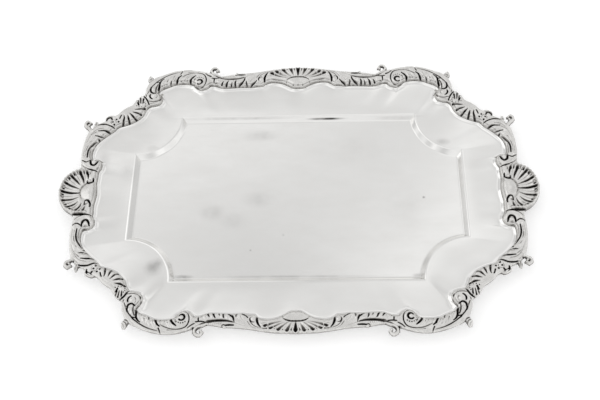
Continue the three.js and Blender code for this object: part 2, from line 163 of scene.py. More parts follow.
# ---- castings as one height map --------------------------------------------------------------

PITCH = 0.4  # plan spacing of the height map
MARGIN = 9.0  # the map runs this far past the two planes of symmetry
EMPTY = -50.0  # height where there is no metal
LIP_FOOT, LIP_HEIGHT, LIP_RUN = 1.1, 3.4, 1.4  # polished lip next to the sheet
SWELL_HEIGHT, SWELL_START, SWELL_RUN = 3.2, 0.8, 4.6  # rise of the moulding behind its lip
SLOPE = 0.06  # climb from there to the crest
CREASE_AT, CREASE_HALF, CREASE_DEPTH = 1.9, 0.8, 1.0  # fine line between lip and moulding
CREST, ROLL_FOOT, ROLL_RUN = 7.7, 3.8, 1.8  # height of the outer edge, and its rounding
SKIRT_Z, UNDER_SKIRT = -1.7, 0.5  # foot of the outer edge, and how far the underside is below it
SKIRT_RUN = 2.6  # width over which the underside wraps down past the sheet's edge
LEAN, LEAN_BELOW, LEAN_REACH = 0.33, 5.5, 9.0  # the outer wall draws in towards its foot
WIDEST_BORDER = 44.0  # no metal of the border lies further than this from its inner edge
OVERHANG = 3.8  # thickness of leaves and scrolls that stand out past the moulding
LEAST_METAL = 0.45  # thinnest a casting may get
BLEND = 0.7  # softness where a height map meets its rolled edge
MAP_X, MAP_Y = 267.0, 173.0  # the map's far corner
DEEPEST = 4.6  # depth of the deepest crevice
WALL_START, WALL_RUN = 0.15, 0.95  # its wall, in half widths from its middle line
BAND_FOOT = -1.2  # where the sides of a free-standing scroll end


def rolled(z, from_outer, crest, run):
    """Turns a height map down at the outer edge of the border."""
    roll = ROLL_FOOT + (crest - ROLL_FOOT) * rounded(from_outer / run)
    return -BLEND * np.logaddexp(-z / BLEND, -roll / BLEND)


class Relief:
    """One quadrant of the border as heights in millimetres above the land."""

    def __init__(self):
        self.xs = np.arange(-MARGIN, MAP_X + PITCH / 2, PITCH)
        self.xs -= self.xs[np.abs(self.xs).argmin()]
        self.ys = np.arange(-MARGIN, MAP_Y + PITCH / 2, PITCH)
        self.ys -= self.ys[np.abs(self.ys).argmin()]
        self.x, self.y = np.meshgrid(self.xs, self.ys)
        ax, ay = np.abs(self.x), np.abs(self.y)
        self.from_inner = distance_to(INNER_EDGE, ax, ay)
        self.from_outer = distance_to(OUTER_EDGE, ax, ay)
        rise = (
            LIP_FOOT
            + (LIP_HEIGHT - LIP_FOOT) * rounded(self.from_inner / LIP_RUN)
            + SWELL_HEIGHT * rounded((self.from_inner - SWELL_START) / SWELL_RUN)
            + SLOPE * self.from_inner
        )
        off_crease = np.minimum(np.abs(self.from_inner - CREASE_AT) / CREASE_HALF, 1)
        rise -= CREASE_DEPTH * (1 - off_crease**2) ** 1.5
        self.body = np.zeros(self.x.shape, bool)
        near = self.from_inner < WIDEST_BORDER
        self.body[near] = inside(BORDER, ax[near], ay[near])
        self.z = np.where(self.body, rolled(rise, self.from_outer, CREST, ROLL_RUN), EMPTY)

    def window(self, x0, x1, y0, y1):
        """Slices of the grid inside a box."""
        cols = np.searchsorted(self.xs, (x0, x1))
        rows = np.searchsorted(self.ys, (y0, y1))
        return slice(*rows), slice(*cols)

    def follow(self, points, widths, reach=1.0):
        """For a curve: the window of the grid it affects, distance over half width, and t."""
        curve = smooth_curve(points, step=0.3)
        steps = np.linalg.norm(np.diff(curve, axis=0), axis=1)
        t = np.concatenate([[0], np.cumsum(steps)]) / max(steps.sum(), 1e-6)
        widest = max(widths) * reach + PITCH
        low, high = curve.min(axis=0) - widest, curve.max(axis=0) + widest
        window = self.window(low[0], high[0], low[1], high[1])
        x, y = self.x[window], self.y[window]
        apart = (x[..., None] - curve[:, 0]) ** 2 + (y[..., None] - curve[:, 1]) ** 2
        half = self.at(widths, t)
        nearest = (apart / half**2).argmin(axis=-1)
        distance = np.sqrt(np.take_along_axis(apart, nearest[..., None], -1)[..., 0])
        return window, distance / half[nearest], t[nearest]

    @staticmethod
    def at(values, t):
        return np.interp(t, np.linspace(0, 1, len(values)), values)

    def ridge(self, points, widths, heights):
        """Adds a soft raised line."""
        window, u, t = self.follow(points, widths)
        self.z[window] += self.at(heights, t) * soft_dot(u)

    def groove(self, points, widths, depths):
        """Takes away a soft sunk line."""
        self.ridge(points, widths, [-depth for depth in depths])

    def grooves(self, lines, widths, depths):
        for line in lines:
            self.groove(line, widths, depths)

    def lift(self, points, widths, tops):
        """A band of metal with a rounded top, at its own height, that stands on nothing else."""
        window, u, t = self.follow(points, widths)
        band = BAND_FOOT + (self.at(tops, t) - BAND_FOOT) * np.clip(1 - u**2, 0, 1) ** 0.4
        self.z[window] = np.where(u < 1, np.maximum(self.z[window], band), self.z[window])

    def cut(self, points, widths, *levels):
        """Sinks a crevice with steep walls to its own levels; it never adds metal."""
        window, u, t = self.follow(points, widths, reach=1.1)
        wall = smoothstep((u - WALL_START) / WALL_RUN)
        z = self.z[window]
        level = np.maximum(self.at(levels, t), z - DEEPEST)
        self.z[window] = np.where(z > level, level + (z - level) * wall, z)

    def well(self, x, y, radius, level):
        """Sinks a round floor, with a soft wall."""
        window = self.window(x - radius - 1, x + radius + 1, y - radius - 1, y + radius + 1)
        wall = smoothstep((np.hypot(self.x[window] - x, self.y[window] - y) - radius + 0.9) / 1.4)
        z = self.z[window]
        self.z[window] = np.where(z > level, level + (z - level) * wall, z)

    def ball(self, x, y, radius, top):
        """A round boss, such as the eye of a volute."""
        window = self.window(x - radius, x + radius, y - radius, y + radius)
        d = np.hypot(self.x[window] - x, self.y[window] - y) / radius
        dome = top - radius * 0.9 * (1 - np.sqrt(np.clip(1 - d**2, 0, 1)))
        self.z[window] = np.where(d < 1, np.maximum(self.z[window], dome), self.z[window])

    def bump(self, x, y, radius, height):
        """Adds a small raised dot, or a pit where the height is negative."""
        window = self.window(x - radius, x + radius, y - radius, y + radius)
        d = np.hypot(self.x[window] - x, self.y[window] - y) / radius
        self.z[window] += height * soft_dot(d)


def arc(x, y, radius, start, end, count=9):
    """Plan points on a circle, angles in degrees."""
    angles = np.radians(np.linspace(start, end, count))
    return [(x + radius * math.cos(a), y + radius * math.sin(a)) for a in angles]


def flipped(points, sx=1, sy=1):
    """The same plan points on another side of the centre planes."""
    return [(sx * x, sy * y) for x, y in points]


def blurred(z, radius):
    """Gaussian blur of a height map, radius in millimetres."""
    reach = max(1, round(2.2 * radius / PITCH))
    weights = np.exp(-0.5 * (np.arange(-reach, reach + 1) * PITCH / radius) ** 2)
    weights /= weights.sum()
    for axis in (0, 1):
        padded = np.pad(z, [(reach, reach) if a == axis else (0, 0) for a in (0, 1)], mode="edge")
        z = sum(
            w * np.take(padded, np.arange(z.shape[axis]) + k, axis=axis)
            for k, w in enumerate(weights)
        )
    return z


def highest(z, reach):
    """The highest cell within `reach` cells of each one, along both axes."""
    for axis in (0, 1):
        z = np.max([np.roll(z, k, axis) for k in range(-reach, reach + 1)], axis=0)
    return z


def hidden_from_sky(z):
    """How much of the sky each cell of a height map can't see, 0 to 1."""
    reach = (1, 2, 3, 5, 8, 12, 17)
    pad = max(reach)
    padded = np.pad(z, pad, mode="edge")
    rows, cols = z.shape
    hidden = np.zeros(z.shape)
    directions = 16
    for k in range(directions):
        angle = 2 * math.pi * k / directions
        horizon = np.zeros(z.shape)
        for steps in reach:
            dx, dy = round(steps * math.cos(angle)), round(steps * math.sin(angle))
            other = padded[pad + dy:pad + dy + rows, pad + dx:pad + dx + cols]
            horizon = np.maximum(horizon, (other - z) / (math.hypot(dx, dy) * PITCH))
        hidden += horizon**2 / (1 + horizon**2)
    return hidden / directions


# ---- the seven patterns, drawn in the +X +Y quadrant -----------------------------------------

def side_shell(relief):
    """Fan of flutes over a smooth hinge, with a reeded scroll at each end."""
    relief.ridge([(-34, 158), (-16, 160.6), (0, 161.2), (16, 160.6), (34, 158)], [7.5], [0.8, 1.3, 0.8])
    relief.groove([(-14, 146), (-12.6, 150), (-7, 152.8), (0, 153.3), (7, 152.8), (12.6, 150), (14, 146)],
                  [0.9, 1.0, 0.9], [0.6, 2.2, 2.2, 2.2, 0.6])
    for x in (-6.6, -3.3, 0, 3.3, 6.6):
        relief.bump(x, 153.0, 0.8, -1.2)
    for x in (-5.6, 0, 5.6):
        relief.bump(x, 142.9, 0.8, -1.5)
    flutes = [[(0, 154.6), (0, 159.5), (0, 164.2)], [(4.4, 154.6), (6.6, 159), (8.7, 163.8)],
              [(7.2, 154.2), (12.4, 157.6), (17.4, 162.8)], [(9, 153.8), (17.4, 156.6), (25.4, 161)],
              [(10.4, 152.6), (16, 153.6), (24, 155.6), (31, 158.6)]]
    ridges = [[(2.2, 155), (4.4, 164)], [(5.8, 155), (13, 163.4)], [(8.2, 154.4), (15, 157.4), (21.2, 162)],
              [(9.8, 153.4), (17, 155.2), (28, 160)]]
    for side in (-1, 1):
        for flute in flutes:
            relief.groove(flipped(flute, side), [0.7, 1.6, 2.1], [0.6, 1.8, 2.8])
            x, y = flute[-1]
            relief.ridge(arc(side * x, y - 1.4, 3.1, -10, 190), [0.9], [1.0])
        for line in ridges:
            relief.groove(flipped(line, side), [0.45, 0.6], [0.5, 1.0])
            x, y = line[-1]
            for shift in (-1.1, 1.1):
                relief.bump(side * x + shift, y + 0.2, 1.0, 1.0)
        # Reeded band that runs off the rim and curls round a knob.
        relief.cut(flipped([(35.4, 160), (37.8, 156.6), (39.2, 152.6), (39.4, 148.6)], side),
                   [0.4, 0.9, 1.3, 1.0], 4.6, 2.4, 2.0)
        relief.groove(flipped([(29, 161.6), (36, 160.6), (42.6, 157.6), (46, 153.6)], side), [0.6], [1.3])
        relief.groove(flipped([(31, 163.2), (38, 161.8), (45, 158.4), (48.8, 153.4)], side), [0.6], [1.1])
        relief.groove(flipped(arc(43.2, 150.8, 3.3, 130, -70), side), [0.6, 0.9, 0.6], [0.8, 2.2, 0.8])
        relief.ball(side * 43.2, 150.8, 2.4, 7.4)
    relief.groove([(44, 147.4), (47, 146.8), (49, 148.8)], [0.5], [1.0])
    for start, end in [((15.6, 150.6), (33, 155.4)), ((18, 149.6), (34, 152.4))]:
        relief.groove([start, end], [0.45], [0.5, 1.0])


def side_leaf(relief):
    """Lobed leaf on the inside, striated leaf and a small scroll on the outside."""
    relief.cut([(48.5, 149.5), (50.5, 147), (53.6, 144.8), (55.4, 142.6)], [0.5, 0.8, 1.2, 1.3],
               4.6, 2.2, 0.8)
    notches = [([(60.5, 148.5), (60.8, 146), (59.8, 143)], [0.4, 0.8, 1.1]),
               ([(62.3, 154), (63.6, 149), (66, 146.4), (69.5, 143.4)], [0.5, 1.1, 1.4, 1.2]),
               ([(72.6, 150), (73.8, 146.6), (74, 143)], [0.4, 0.9, 1.4]),
               ([(77.6, 147), (78.4, 143.6)], [0.4, 0.9]),
               ([(81.4, 150), (83, 147), (84.4, 143.6)], [0.4, 0.8, 1.3]),
               ([(87.6, 148.4), (89.8, 144.6)], [0.4, 1.0])]
    for line, widths in notches:
        relief.cut(line, widths, 5.4, 3.4, 1.0)
    for root, tip in [((57.4, 151), (57.6, 145)), ((61.4, 151), (62.8, 145)),
                      ((69.4, 149.4), (70.8, 144.6)), ((75, 149.4), (76, 144.6)),
                      ((80, 149), (81.4, 144.6)), ((85.4, 149), (87, 144.6)), ((91.4, 150), (93.6, 146))]:
        relief.ridge([root, tip], [1.5, 2.3], [0.4, 1.1])
    # Soft valley between the two leaves, with a fine spine in it.
    valley = [(64, 153.6), (70, 152.4), (78, 152), (85, 152.5), (91, 154), (96, 156.6), (99, 159)]
    relief.groove(valley, [1.2, 2.1, 2.1, 1.5], [1.2, 2.6, 2.6, 2.2])
    relief.groove([(52, 158), (57, 156.6), (63, 154.2), (70, 152.2), (80, 151.6), (90, 152.4)],
                  [0.55], [0.7, 1.2, 1.2])
    relief.grooves([[(50, 160), (55, 159), (60, 158)], [(51, 153.6), (54, 151), (56, 147.6)],
            [(54, 154.4), (57, 151), (58.4, 147)], [(64.6, 150.6), (67, 147.4)], [(71, 150), (72, 146)],
            [(79, 150), (80.6, 146.4)], [(83, 150.6), (83.6, 148)], [(90, 151), (91.6, 147)],
            [(104.6, 151), (101.6, 149.4)], [(95.4, 150.6), (96.4, 147.6)], [(56, 155), (58.6, 150.4)],
            [(67, 151), (70.4, 147)], [(76, 150.6), (77, 146.8)], [(86, 151), (86.4, 146.6)]],
            [0.5], [0.3, 0.9])
    for line in [[(93, 153.4), (97, 153), (101.6, 153.4)], [(98.7, 152.6), (99.2, 148)],
                 [(96.4, 147.2), (100, 146.6), (103.4, 145.6)]]:
        relief.cut(line, [0.5, 0.7, 0.5], 3.0)
    # Striated leaf, curling over at its near end.
    relief.cut([(62.6, 157.4), (67.6, 157.2), (71.6, 157.6)], [0.6, 1.0, 0.8], 2.4)
    relief.groove(arc(72.4, 159.2, 2.6, -90, 60), [0.8], [1.8])
    relief.ball(72.2, 159.2, 1.7, 7.6)
    for k in range(9):
        x = 75.8 + 2.1 * k
        relief.groove([(x - 0.5, 154.4), (x + 1.2, 158.6)], [0.65], [1.2, 0.7])
    # Stem and small scroll over the edge.
    relief.lift([(90, 155), (95, 157.2), (100, 159.6), (102.4, 163.4), (100.6, 167), (96.6, 167.4),
                 (94.2, 164.4)], [1.3, 2.1, 2.5, 2.4, 2.3, 2.2, 1.8],
                [6.2, 7.2, 8.0, 8.6, 8.6, 8.2, 7.4])
    relief.well(98.4, 162.8, 1.7, 2.4)
    relief.ball(96.2, 163.2, 1.8, 8.0)
    # Leaf tips against the volute.
    relief.ridge([(100.4, 156), (103.6, 158.6), (106.6, 161)], [1.9], [1.4])
    relief.groove([(102.6, 155.4), (106.6, 157.6), (109.4, 160.2)], [0.7], [1.8])
    relief.cut([(103.6, 160.8), (105.4, 162.6)], [0.8], 2.0)


def volute_leaf(relief):
    """A volute with leaves springing from its back."""
    eye = (116.2, 148.4)
    relief.groove([(120.6, 143.4), (116, 141), (111, 143), (108.5, 148), (108.7, 154), (111.5, 158.8),
                   (117.5, 161.1), (126, 161), (133, 158.5), (137.5, 156)],
                  [0.6, 0.8, 0.8], [1.2, 2.0, 2.0, 1.6, 1.2])
    relief.cut(arc(*eye, 3.2, 40, 320, 13), [0.7, 1.0, 1.0, 0.7], 3.0)
    relief.ball(*eye, 2.0, 7.6)
    relief.ridge(arc(*eye, 5.1, 60, 340, 13), [1.1], [0.7])
    for angle in (20, 42, 64, 86, 108, 130):
        relief.bump(*arc(*eye, 6.3, angle, angle, 1)[0], 0.9, -1.6)
    # Gaps between the lobes.
    relief.cut([(121, 157.6), (124.2, 155), (126.8, 151.6), (127.2, 147.6)], [0.5, 1.1, 1.3, 1.2],
               4.2, 1.6, 0.9)
    relief.cut([(131, 152), (132.3, 148.2)], [0.4, 1.0], 5.0, 1.2)
    relief.cut([(138, 158), (140.5, 155.8), (142.8, 151.5), (144.2, 147)], [0.6, 1.0, 1.4, 1.2],
               3.4, 1.2, 0.8)
    relief.grooves([[(124.4, 159.2), (128.6, 152.4)], [(129.6, 158.6), (134, 151.4)],
            [(133.6, 157.6), (138.4, 150.6)], [(119.6, 156.4), (122.4, 152)],
            [(139.6, 159.4), (143.6, 155.4), (146, 151)], [(113, 161.6), (121, 162.8), (130, 162)],
            [(127, 158.6), (130.4, 153.6)], [(131.6, 157.6), (136.4, 151)],
            [(121.6, 154), (123.6, 149.6)], [(135, 156.6), (138.6, 152.4)]], [0.6], [0.4, 1.3])
    relief.ridge([(128.6, 156), (129.4, 151)], [1.8], [0.5, 1.0])
    relief.ridge([(134, 155.6), (136.6, 151)], [1.8], [0.5, 1.0])
    relief.groove([(112, 163.2), (119, 164.6), (127, 164.8), (135, 163.4)], [0.55], [0.7])
    relief.groove([(136.6, 166.5), (137.6, 163), (139, 160)], [0.8], [2.0])


def corner_scroll(relief):
    """The big C scroll of each corner, with lobes inside it and a bud on its back."""
    ball = (168.2, 129.2)
    relief.cut([(149.3, 150.8), (150.3, 147), (151.2, 144.6)], [0.5, 0.8, 1.2], 5.0, 2.4, 1.0)
    relief.cut([(153.4, 147), (154.6, 143.4)], [0.5, 0.9], 4.6, 1.2)
    relief.cut([(158, 153.5), (160.5, 151.5), (162.6, 148.3), (163.2, 144), (164.2, 139.4)],
               [0.4, 0.8, 1.1, 1.3, 1.2], 4.2, 2.4, 1.0)
    relief.cut([(163, 148.5), (167, 148)], [0.6, 0.5], 2.4)
    relief.groove([(164.8, 146), (166.6, 141), (167, 137), (166.4, 133.5)], [0.7], [2.2])
    relief.grooves([[(144, 159.4), (147, 156), (148.4, 150)],
            [(149.4, 157.4), (151.4, 153), (152.2, 148)], [(154.4, 154.6), (156.6, 150), (157.4, 145)],
            [(158, 150.6), (159.6, 147), (160.4, 143)], [(165.4, 150), (168.2, 146), (170, 141.4)],
            [(162, 152.6), (166.6, 149.6)], [(174.6, 141), (177.6, 133), (177.4, 128)],
            [(157, 160.6), (165, 156)], [(146, 157.4), (147.6, 151.6)], [(152.6, 155), (154.4, 149)],
            [(156.6, 152.6), (158.6, 146)], [(167.4, 145.6), (169.4, 140)]], [0.6], [0.3, 1.2])
    relief.groove([(139.5, 163), (148, 160.6), (156, 156.8), (165, 150.2), (172, 142), (176.6, 132)],
                  [0.8], [1.2, 2.0, 2.0, 1.6])
    relief.groove([(142, 166), (152, 162.2), (162, 157), (168.6, 151.8)], [0.5], [0.7])
    for root, tip in [((146.6, 154.6), (148, 147.6)), ((151, 153), (152.4, 146)),
                      ((155.4, 152), (157.4, 145)), ((159.6, 149.6), (160.8, 143.6)),
                      ((167.6, 147), (169.6, 139))]:
        relief.ridge([root, tip], [1.5, 2.3], [0.4, 1.1])
    # Volute at the foot of the scroll.
    relief.groove([(160.4, 132), (160.2, 127), (162.8, 123), (168, 121.4), (174, 122)],
                  [0.8], [1.2, 2.0, 1.6])
    relief.cut([(165.3, 134.6), (169, 132.9), (172, 134.5), (173, 138), (172.7, 141.8)],
               [0.5, 0.9, 1.1, 0.9, 0.5], 2.4)
    relief.cut(arc(*ball, 4.9, 25, -70), [0.5, 0.9, 0.8, 0.5], 2.6)
    relief.groove(arc(*ball, 3.6, 230, 120), [0.7], [1.2])
    relief.ball(*ball, 2.7, 7.7)
    relief.groove([(178.8, 139), (177.6, 130), (173.6, 124.6)], [0.5], [0.8])
    # Bud on the outer edge.
    relief.lift([(173.2, 151.6), (174.6, 154.6), (175, 157.2)], [3.2, 4.0, 2.8], [6.6, 7.2, 6.2])
    relief.groove([(170.3, 153.7), (171.8, 151.5), (174.2, 150.6)], [0.7], [1.8])
    relief.groove([(171.5, 157.6), (172.4, 154.5), (175.4, 152.3)], [0.7], [1.8])
    relief.groove([(174.6, 158.6), (175.6, 155.4), (177.4, 153.6)], [0.6], [1.4])


def corner_shell(relief):
    """Scallop that opens towards the well, between a rocaille curl and a small scroll."""
    relief.ridge([(187, 114.4), (194, 111), (201, 106.6), (206, 102)], [5.0], [0.2, 0.9, 0.3])
    flutes = [[(178.4, 112.6), (182, 111.2), (185.5, 110.4), (189, 110)],
              [(182, 104.4), (186, 105.2), (191, 106.6)],
              [(186.6, 97.6), (189, 99.2), (191.6, 102), (194.4, 105)],
              [(194.2, 93.2), (195, 96.7), (196.6, 102.4)],
              [(201.8, 90), (200.9, 94), (200.3, 98.4), (201, 102.4)]]
    for flute in flutes:
        relief.groove(flute, [1.6, 1.3, 0.6], [2.6, 3.0, 1.0])
        x, y = flute[0]
        relief.bump(x, y, 1.5, -0.7)
    for a, b in zip(flutes, flutes[1:]):
        middle = [((p[0] + q[0]) / 2, (p[1] + q[1]) / 2) for p, q in zip(a, b)]
        relief.ridge(middle, [1.6, 1.2, 0.8], [1.0, 0.7, 0.3])
        relief.groove(middle, [0.45], [0.9, 0.4])
    relief.grooves([[(189.6, 113.4), (196, 110.6), (201.6, 107)],
            [(191, 111.4), (197, 108.6), (201.6, 105.6)]], [0.45], [0.7])
    # Rocaille curl next to the corner scroll.
    relief.cut([(173.4, 118), (176, 123), (179, 127), (184, 130.4)], [0.6, 0.8, 0.8, 0.5], 2.4)
    relief.ridge([(176.4, 120.6), (178.6, 124.8), (182.2, 127.8), (186.4, 128), (189.2, 125.4),
                  (188.8, 122.4)], [1.3], [1.2])
    relief.grooves([[(180.4, 118.4), (180.2, 124.6)], [(183, 118.8), (183.8, 126)],
            [(185.2, 119.2), (186.8, 125)]], [0.9], [1.4, 2.8])
    relief.cut([(186.4, 119.6), (185, 116)], [1.0, 0.9], 1.6)
    relief.ball(181.2, 116.8, 1.9, 7.4)
    for x, y in [(177.6, 115.6), (177.4, 118), (184.4, 113.6), (181.4, 113.8), (187.4, 115), (178.6, 120)]:
        relief.bump(x, y, 0.9, -1.8)
    # Curls next to the end scroll.
    relief.groove([(202.4, 104.4), (204.4, 100.6), (205.4, 97.6)], [0.8], [2.4])
    relief.ball(203.6, 104.2, 1.8, 7.8)
    for x, y in [(209, 96.4), (213, 93), (211, 89.6), (206.4, 93.4)]:
        relief.bump(x, y, 1.3, -3.2)
    relief.groove(arc(212, 92.8, 3.0, 200, -40), [0.6], [1.2])
    relief.lift([(209.6, 99.6), (213, 101), (217.4, 100.6), (221, 98), (221, 94.6)],
                [1.4, 1.8, 1.9, 1.7, 1.2], [6.8, 7.0, 7.0, 6.6, 5.8])
    relief.cut(arc(217.2, 95.8, 3.1, 170, -30), [0.8, 1.0, 0.7], 1.4)
    relief.ball(217.2, 95.8, 2.1, 6.8)


def end_scroll(relief):
    """Layered leaves at the head, a long reeded band, and a volute beside the end shell."""
    relief.cut([(209, 85.2), (214, 87), (220, 89.4), (226, 89.6), (230, 88.6)],
               [0.6, 0.7, 0.7, 1.1, 0.6], 2.4)
    relief.ridge([(211.5, 80.5), (214, 84), (220, 86.4), (228, 85.6), (234, 81)], [2.2], [0.9])
    relief.cut([(215.2, 79.6), (218.6, 80.8), (222, 81.2), (228.4, 80.8)], [1.6, 1.2, 0.8, 0.5],
               0.8, 2.4, 4.6)
    relief.ridge([(219, 77), (224, 77.8), (230, 77), (235, 73.6)], [1.7], [0.8])
    relief.cut([(221, 74), (225, 73.8), (231, 74.4)], [1.0, 0.8, 0.5], 1.2, 2.6, 4.6)
    relief.cut([(226, 68.6), (226.8, 70.2)], [1.5, 1.2], 0.9)
    # Reeded band.
    band = [(229.2, 67.4), (232.5, 63.8), (235.8, 58.4), (237.2, 52), (236.8, 45.5)]
    relief.groove(band, [0.7, 1.1, 1.1, 0.9], [1.6, 3.0, 3.0, 2.4])
    for shift, depth in ((2.2, 1.1), (4.0, 0.9)):
        relief.groove([(x + shift, y + 1.2) for x, y in band], [0.5], [depth])
    relief.groove([(226.6, 73.4), (232, 70.8), (237, 63), (239.4, 54)], [0.5], [0.8, 0.4])
    relief.grooves([[(222, 84.6), (230, 82.4), (236.4, 75)], [(225, 76), (232, 72.4)],
            [(213, 82), (217, 84.8), (223, 86)], [(222.6, 87.8), (230, 87), (236, 82)],
            [(230, 79.4), (236, 74), (240, 65)], [(229, 66), (232.4, 61), (234.6, 54), (234.4, 46)],
            [(231, 61.6), (233.2, 56), (233.4, 49)]], [0.5], [0.8])
    # Volute beside the end shell.
    relief.cut([(224.6, 41), (225.3, 37.4), (228, 34.7), (231.2, 35.9), (232.4, 39.4), (232.6, 42)],
               [0.7, 1.2, 1.2, 1.2, 0.8], 1.6)
    relief.ridge([(239.6, 44), (240, 38), (236.6, 32.6), (229.4, 30.4), (222.8, 33.4), (221, 38.6),
                  (222.6, 42.6)], [1.8], [0.9])
    relief.ball(228.4, 39.2, 2.5, 8.0)
    relief.groove([(233.6, 41), (237.4, 39), (241, 40.6), (244, 42.6)], [0.8], [2.4])
    relief.groove([(243, 37.6), (239.6, 33), (234, 29.6)], [0.5], [1.0])
    # Bud and outer scroll over the edge.
    relief.lift([(231.2, 87.6), (232, 91), (232.6, 94)], [2.0, 2.6, 1.8], [6.8, 7.0, 5.8])
    relief.groove([(231.6, 88.4), (232.4, 95)], [0.6], [1.8])
    relief.cut([(235.4, 84.4), (236.4, 88), (236, 91.4)], [0.9, 1.1, 0.8], 1.0)
    relief.lift([(237, 80.6), (239.4, 84.2), (242.4, 86.4), (243.2, 89.4), (240.6, 92), (237.6, 90.4)],
                [2.2, 2.6, 2.8, 2.7, 2.5, 2.0], [7.4, 8.8, 10.4, 11.2, 11.0, 9.6])
    relief.ball(239.4, 88.0, 1.7, 9.0)


# Heights of the end shell's dish and rim, the run between them, and the rounding past the rim.
FAN_FLOOR, FAN_RIM, FAN_RUN = 4.6, 10.9, 12.0
FAN_ROLL_RISE, FAN_ROLL_RUN = 0.6, 2.4


def end_shell(relief):
    """Deep scallop whose rim stands up past the end of the tray, on a domed hinge."""
    rim = [(230, 25.6), (238, 26.8), (245, 25.6), (251, 22), (256, 16.4), (259.2, 9), (260.4, 0)]
    crest = smooth_curve(rim)
    window = relief.window(220, 267, -MARGIN, 31)
    x, y = relief.x[window], relief.y[window]
    from_crest = distance_to(crest, x, np.abs(y))
    dish = FAN_FLOOR + (FAN_RIM - FAN_FLOOR) * (1 - np.minimum(from_crest / FAN_RUN, 1)) ** 1.7
    dish = rolled(dish, relief.from_outer[window], FAN_RIM + FAN_ROLL_RISE, FAN_ROLL_RUN)
    in_fan = smoothstep((np.hypot(x - 226, y) - 11) / 4) * smoothstep((x - 228) / 6) * (np.abs(y) < 28)
    z = relief.z[window]
    relief.z[window] = np.where(z > EMPTY / 2, z + (dish - z) * in_fan, z)
    relief.ridge([(227, -6), (229, 0), (227, 6)], [8.0], [1.6])
    flutes = [[(240, 0), (250, 0), (258.5, 0)], [(241, 5.2), (246, 7.4), (252, 9.4), (257.4, 11.8)],
              [(240.8, 10.4), (244.5, 14.4), (248.4, 17.8), (251.4, 20.4)],
              [(236.8, 12.6), (238, 17), (240, 21), (241.6, 24)], [(232.4, 17.6), (232.6, 21), (233.6, 24)]]
    ridges = [[(240.6, 2.6), (249, 4.2), (258.6, 6)], [(241.2, 7.8), (247, 11.6), (254.6, 16.6)],
              [(239.4, 11.6), (242.6, 17), (246.8, 23)], [(235, 15.6), (236, 20), (237.4, 24.6)]]
    for side in (-1, 1):
        for flute in flutes:
            relief.groove(flipped(flute, 1, side), [0.7, 1.4, 1.8], [0.8, 2.3, 3.0])
        for line in ridges:
            relief.groove(flipped(line, 1, side), [0.45, 0.6], [0.4, 1.2])
        # Volute beside the hinge.
        relief.cut(flipped([(226.6, 18), (226.6, 14), (229, 10.9), (232.2, 11.4), (233, 15)], 1, side),
                   [0.6, 1.0, 1.0, 1.0, 0.6], 2.0)
        relief.ball(230.3, side * 13.6, 1.9, 8.8)
        # Beaded rim.
        for k, place in enumerate(np.linspace(0, len(crest) - 1, 13)):
            bead = crest[int(place)]
            inward = np.array([236.0, 0.0]) - bead
            pit = bead + inward / np.linalg.norm(inward) * 2.4
            relief.bump(bead[0], side * bead[1], 1.8, 2.0)
            relief.bump(pit[0], side * pit[1], 1.3, -3.2 if k % 2 else -1.2)
        ruffle = [(231, 22.4), (238, 23.2), (244, 22.4), (249, 19.2), (253.2, 14.4), (256, 8), (257, 0)]
        relief.groove(flipped(ruffle, 1, side), [0.6], [0.8])
    relief.cut([(222, 27.8), (230, 28.2), (238, 28.7), (244, 28.6)], [0.7], 2.4)


# ---- meshes ----------------------------------------------------------------------------------

def new_object(name, vertices, faces, sharp_angle):
    """A smooth mesh object, from millimetres."""
    mesh = bpy.data.meshes.new(name)
    mesh.from_pydata((np.asarray(vertices) * MM).tolist(), [], faces)
    mesh.validate()
    mesh.shade_smooth()
    mesh.set_sharp_from_angle(angle=math.radians(sharp_angle))
    made = bpy.data.objects.new(name, mesh)
    bpy.context.scene.collection.objects.link(made)
    return made


SOFTNESS, SOFT_SHARE, CRISP_SHARE = 0.34, 0.7, 0.3  # how far the cast relief is rounded off
SKY_LOW, SKY_RUN, SKY_PATINA_AND_SHADE = 0.16, 0.6, 0.72  # patina and painted shade from the share of hidden sky
BACK_REACH, BACK_BLUR = 4, 1.0  # cells and millimetres over which the back of a leaf is evened out
HOLLOWS = ((0.9, 0.42), (2.6, 0.26))  # reach of narrow and wide hollows, and the painted shade they hold


def draw_border():
    """The finished height map of a quadrant, smoothed like a casting, with its patina and painted shade."""
    relief = Relief()
    for draw in (side_shell, side_leaf, volute_leaf, corner_scroll, corner_shell, end_scroll, end_shell):
        draw(relief)
    metal = relief.z > EMPTY / 2
    filled = np.where(metal, relief.z, 0.0)
    relief.z = np.where(metal, SOFT_SHARE * blurred(filled, SOFTNESS) + CRISP_SHARE * filled, EMPTY)
    above_skirt = np.where(metal, relief.z, SKIRT_Z)
    relief.back = blurred(highest(above_skirt, BACK_REACH), BACK_BLUR) - OVERHANG
    hidden = hidden_from_sky(above_skirt)
    filled = np.where(metal, relief.z, 0.0)
    hollows = sum(held * np.clip(blurred(filled, reach) - filled, 0, 1) for reach, held in HOLLOWS)
    # Recess darkening: patina in part, and painted shade from hidden sky and from hollows.
    relief.tarnish = SKY_PATINA_AND_SHADE * smoothstep((hidden - SKY_LOW) / SKY_RUN) + hollows * metal
    sign = np.where(relief.body, 1, -1)
    relief.inward_y, relief.inward_x = np.gradient(relief.from_outer * sign, PITCH)
    relief.outward_y, relief.outward_x = np.gradient(relief.from_inner * sign, PITCH)
    return relief


def side_of(joint, x, y):
    """How far plan points lie to the left of a joint's outward line."""
    (px, py), (qx, qy) = joint
    length = math.hypot(qx - px, qy - py)
    return ((qx - px) * (y - py) - (qy - py) * (x - px)) / length


def past_sheet(x, y):
    """Distance of plan points outside the sheet's edge."""
    near = distance_to(SHEET_EDGE, x, y)
    near[inside(SHEET_QUADRANT, x, y)] = 0.0
    return near


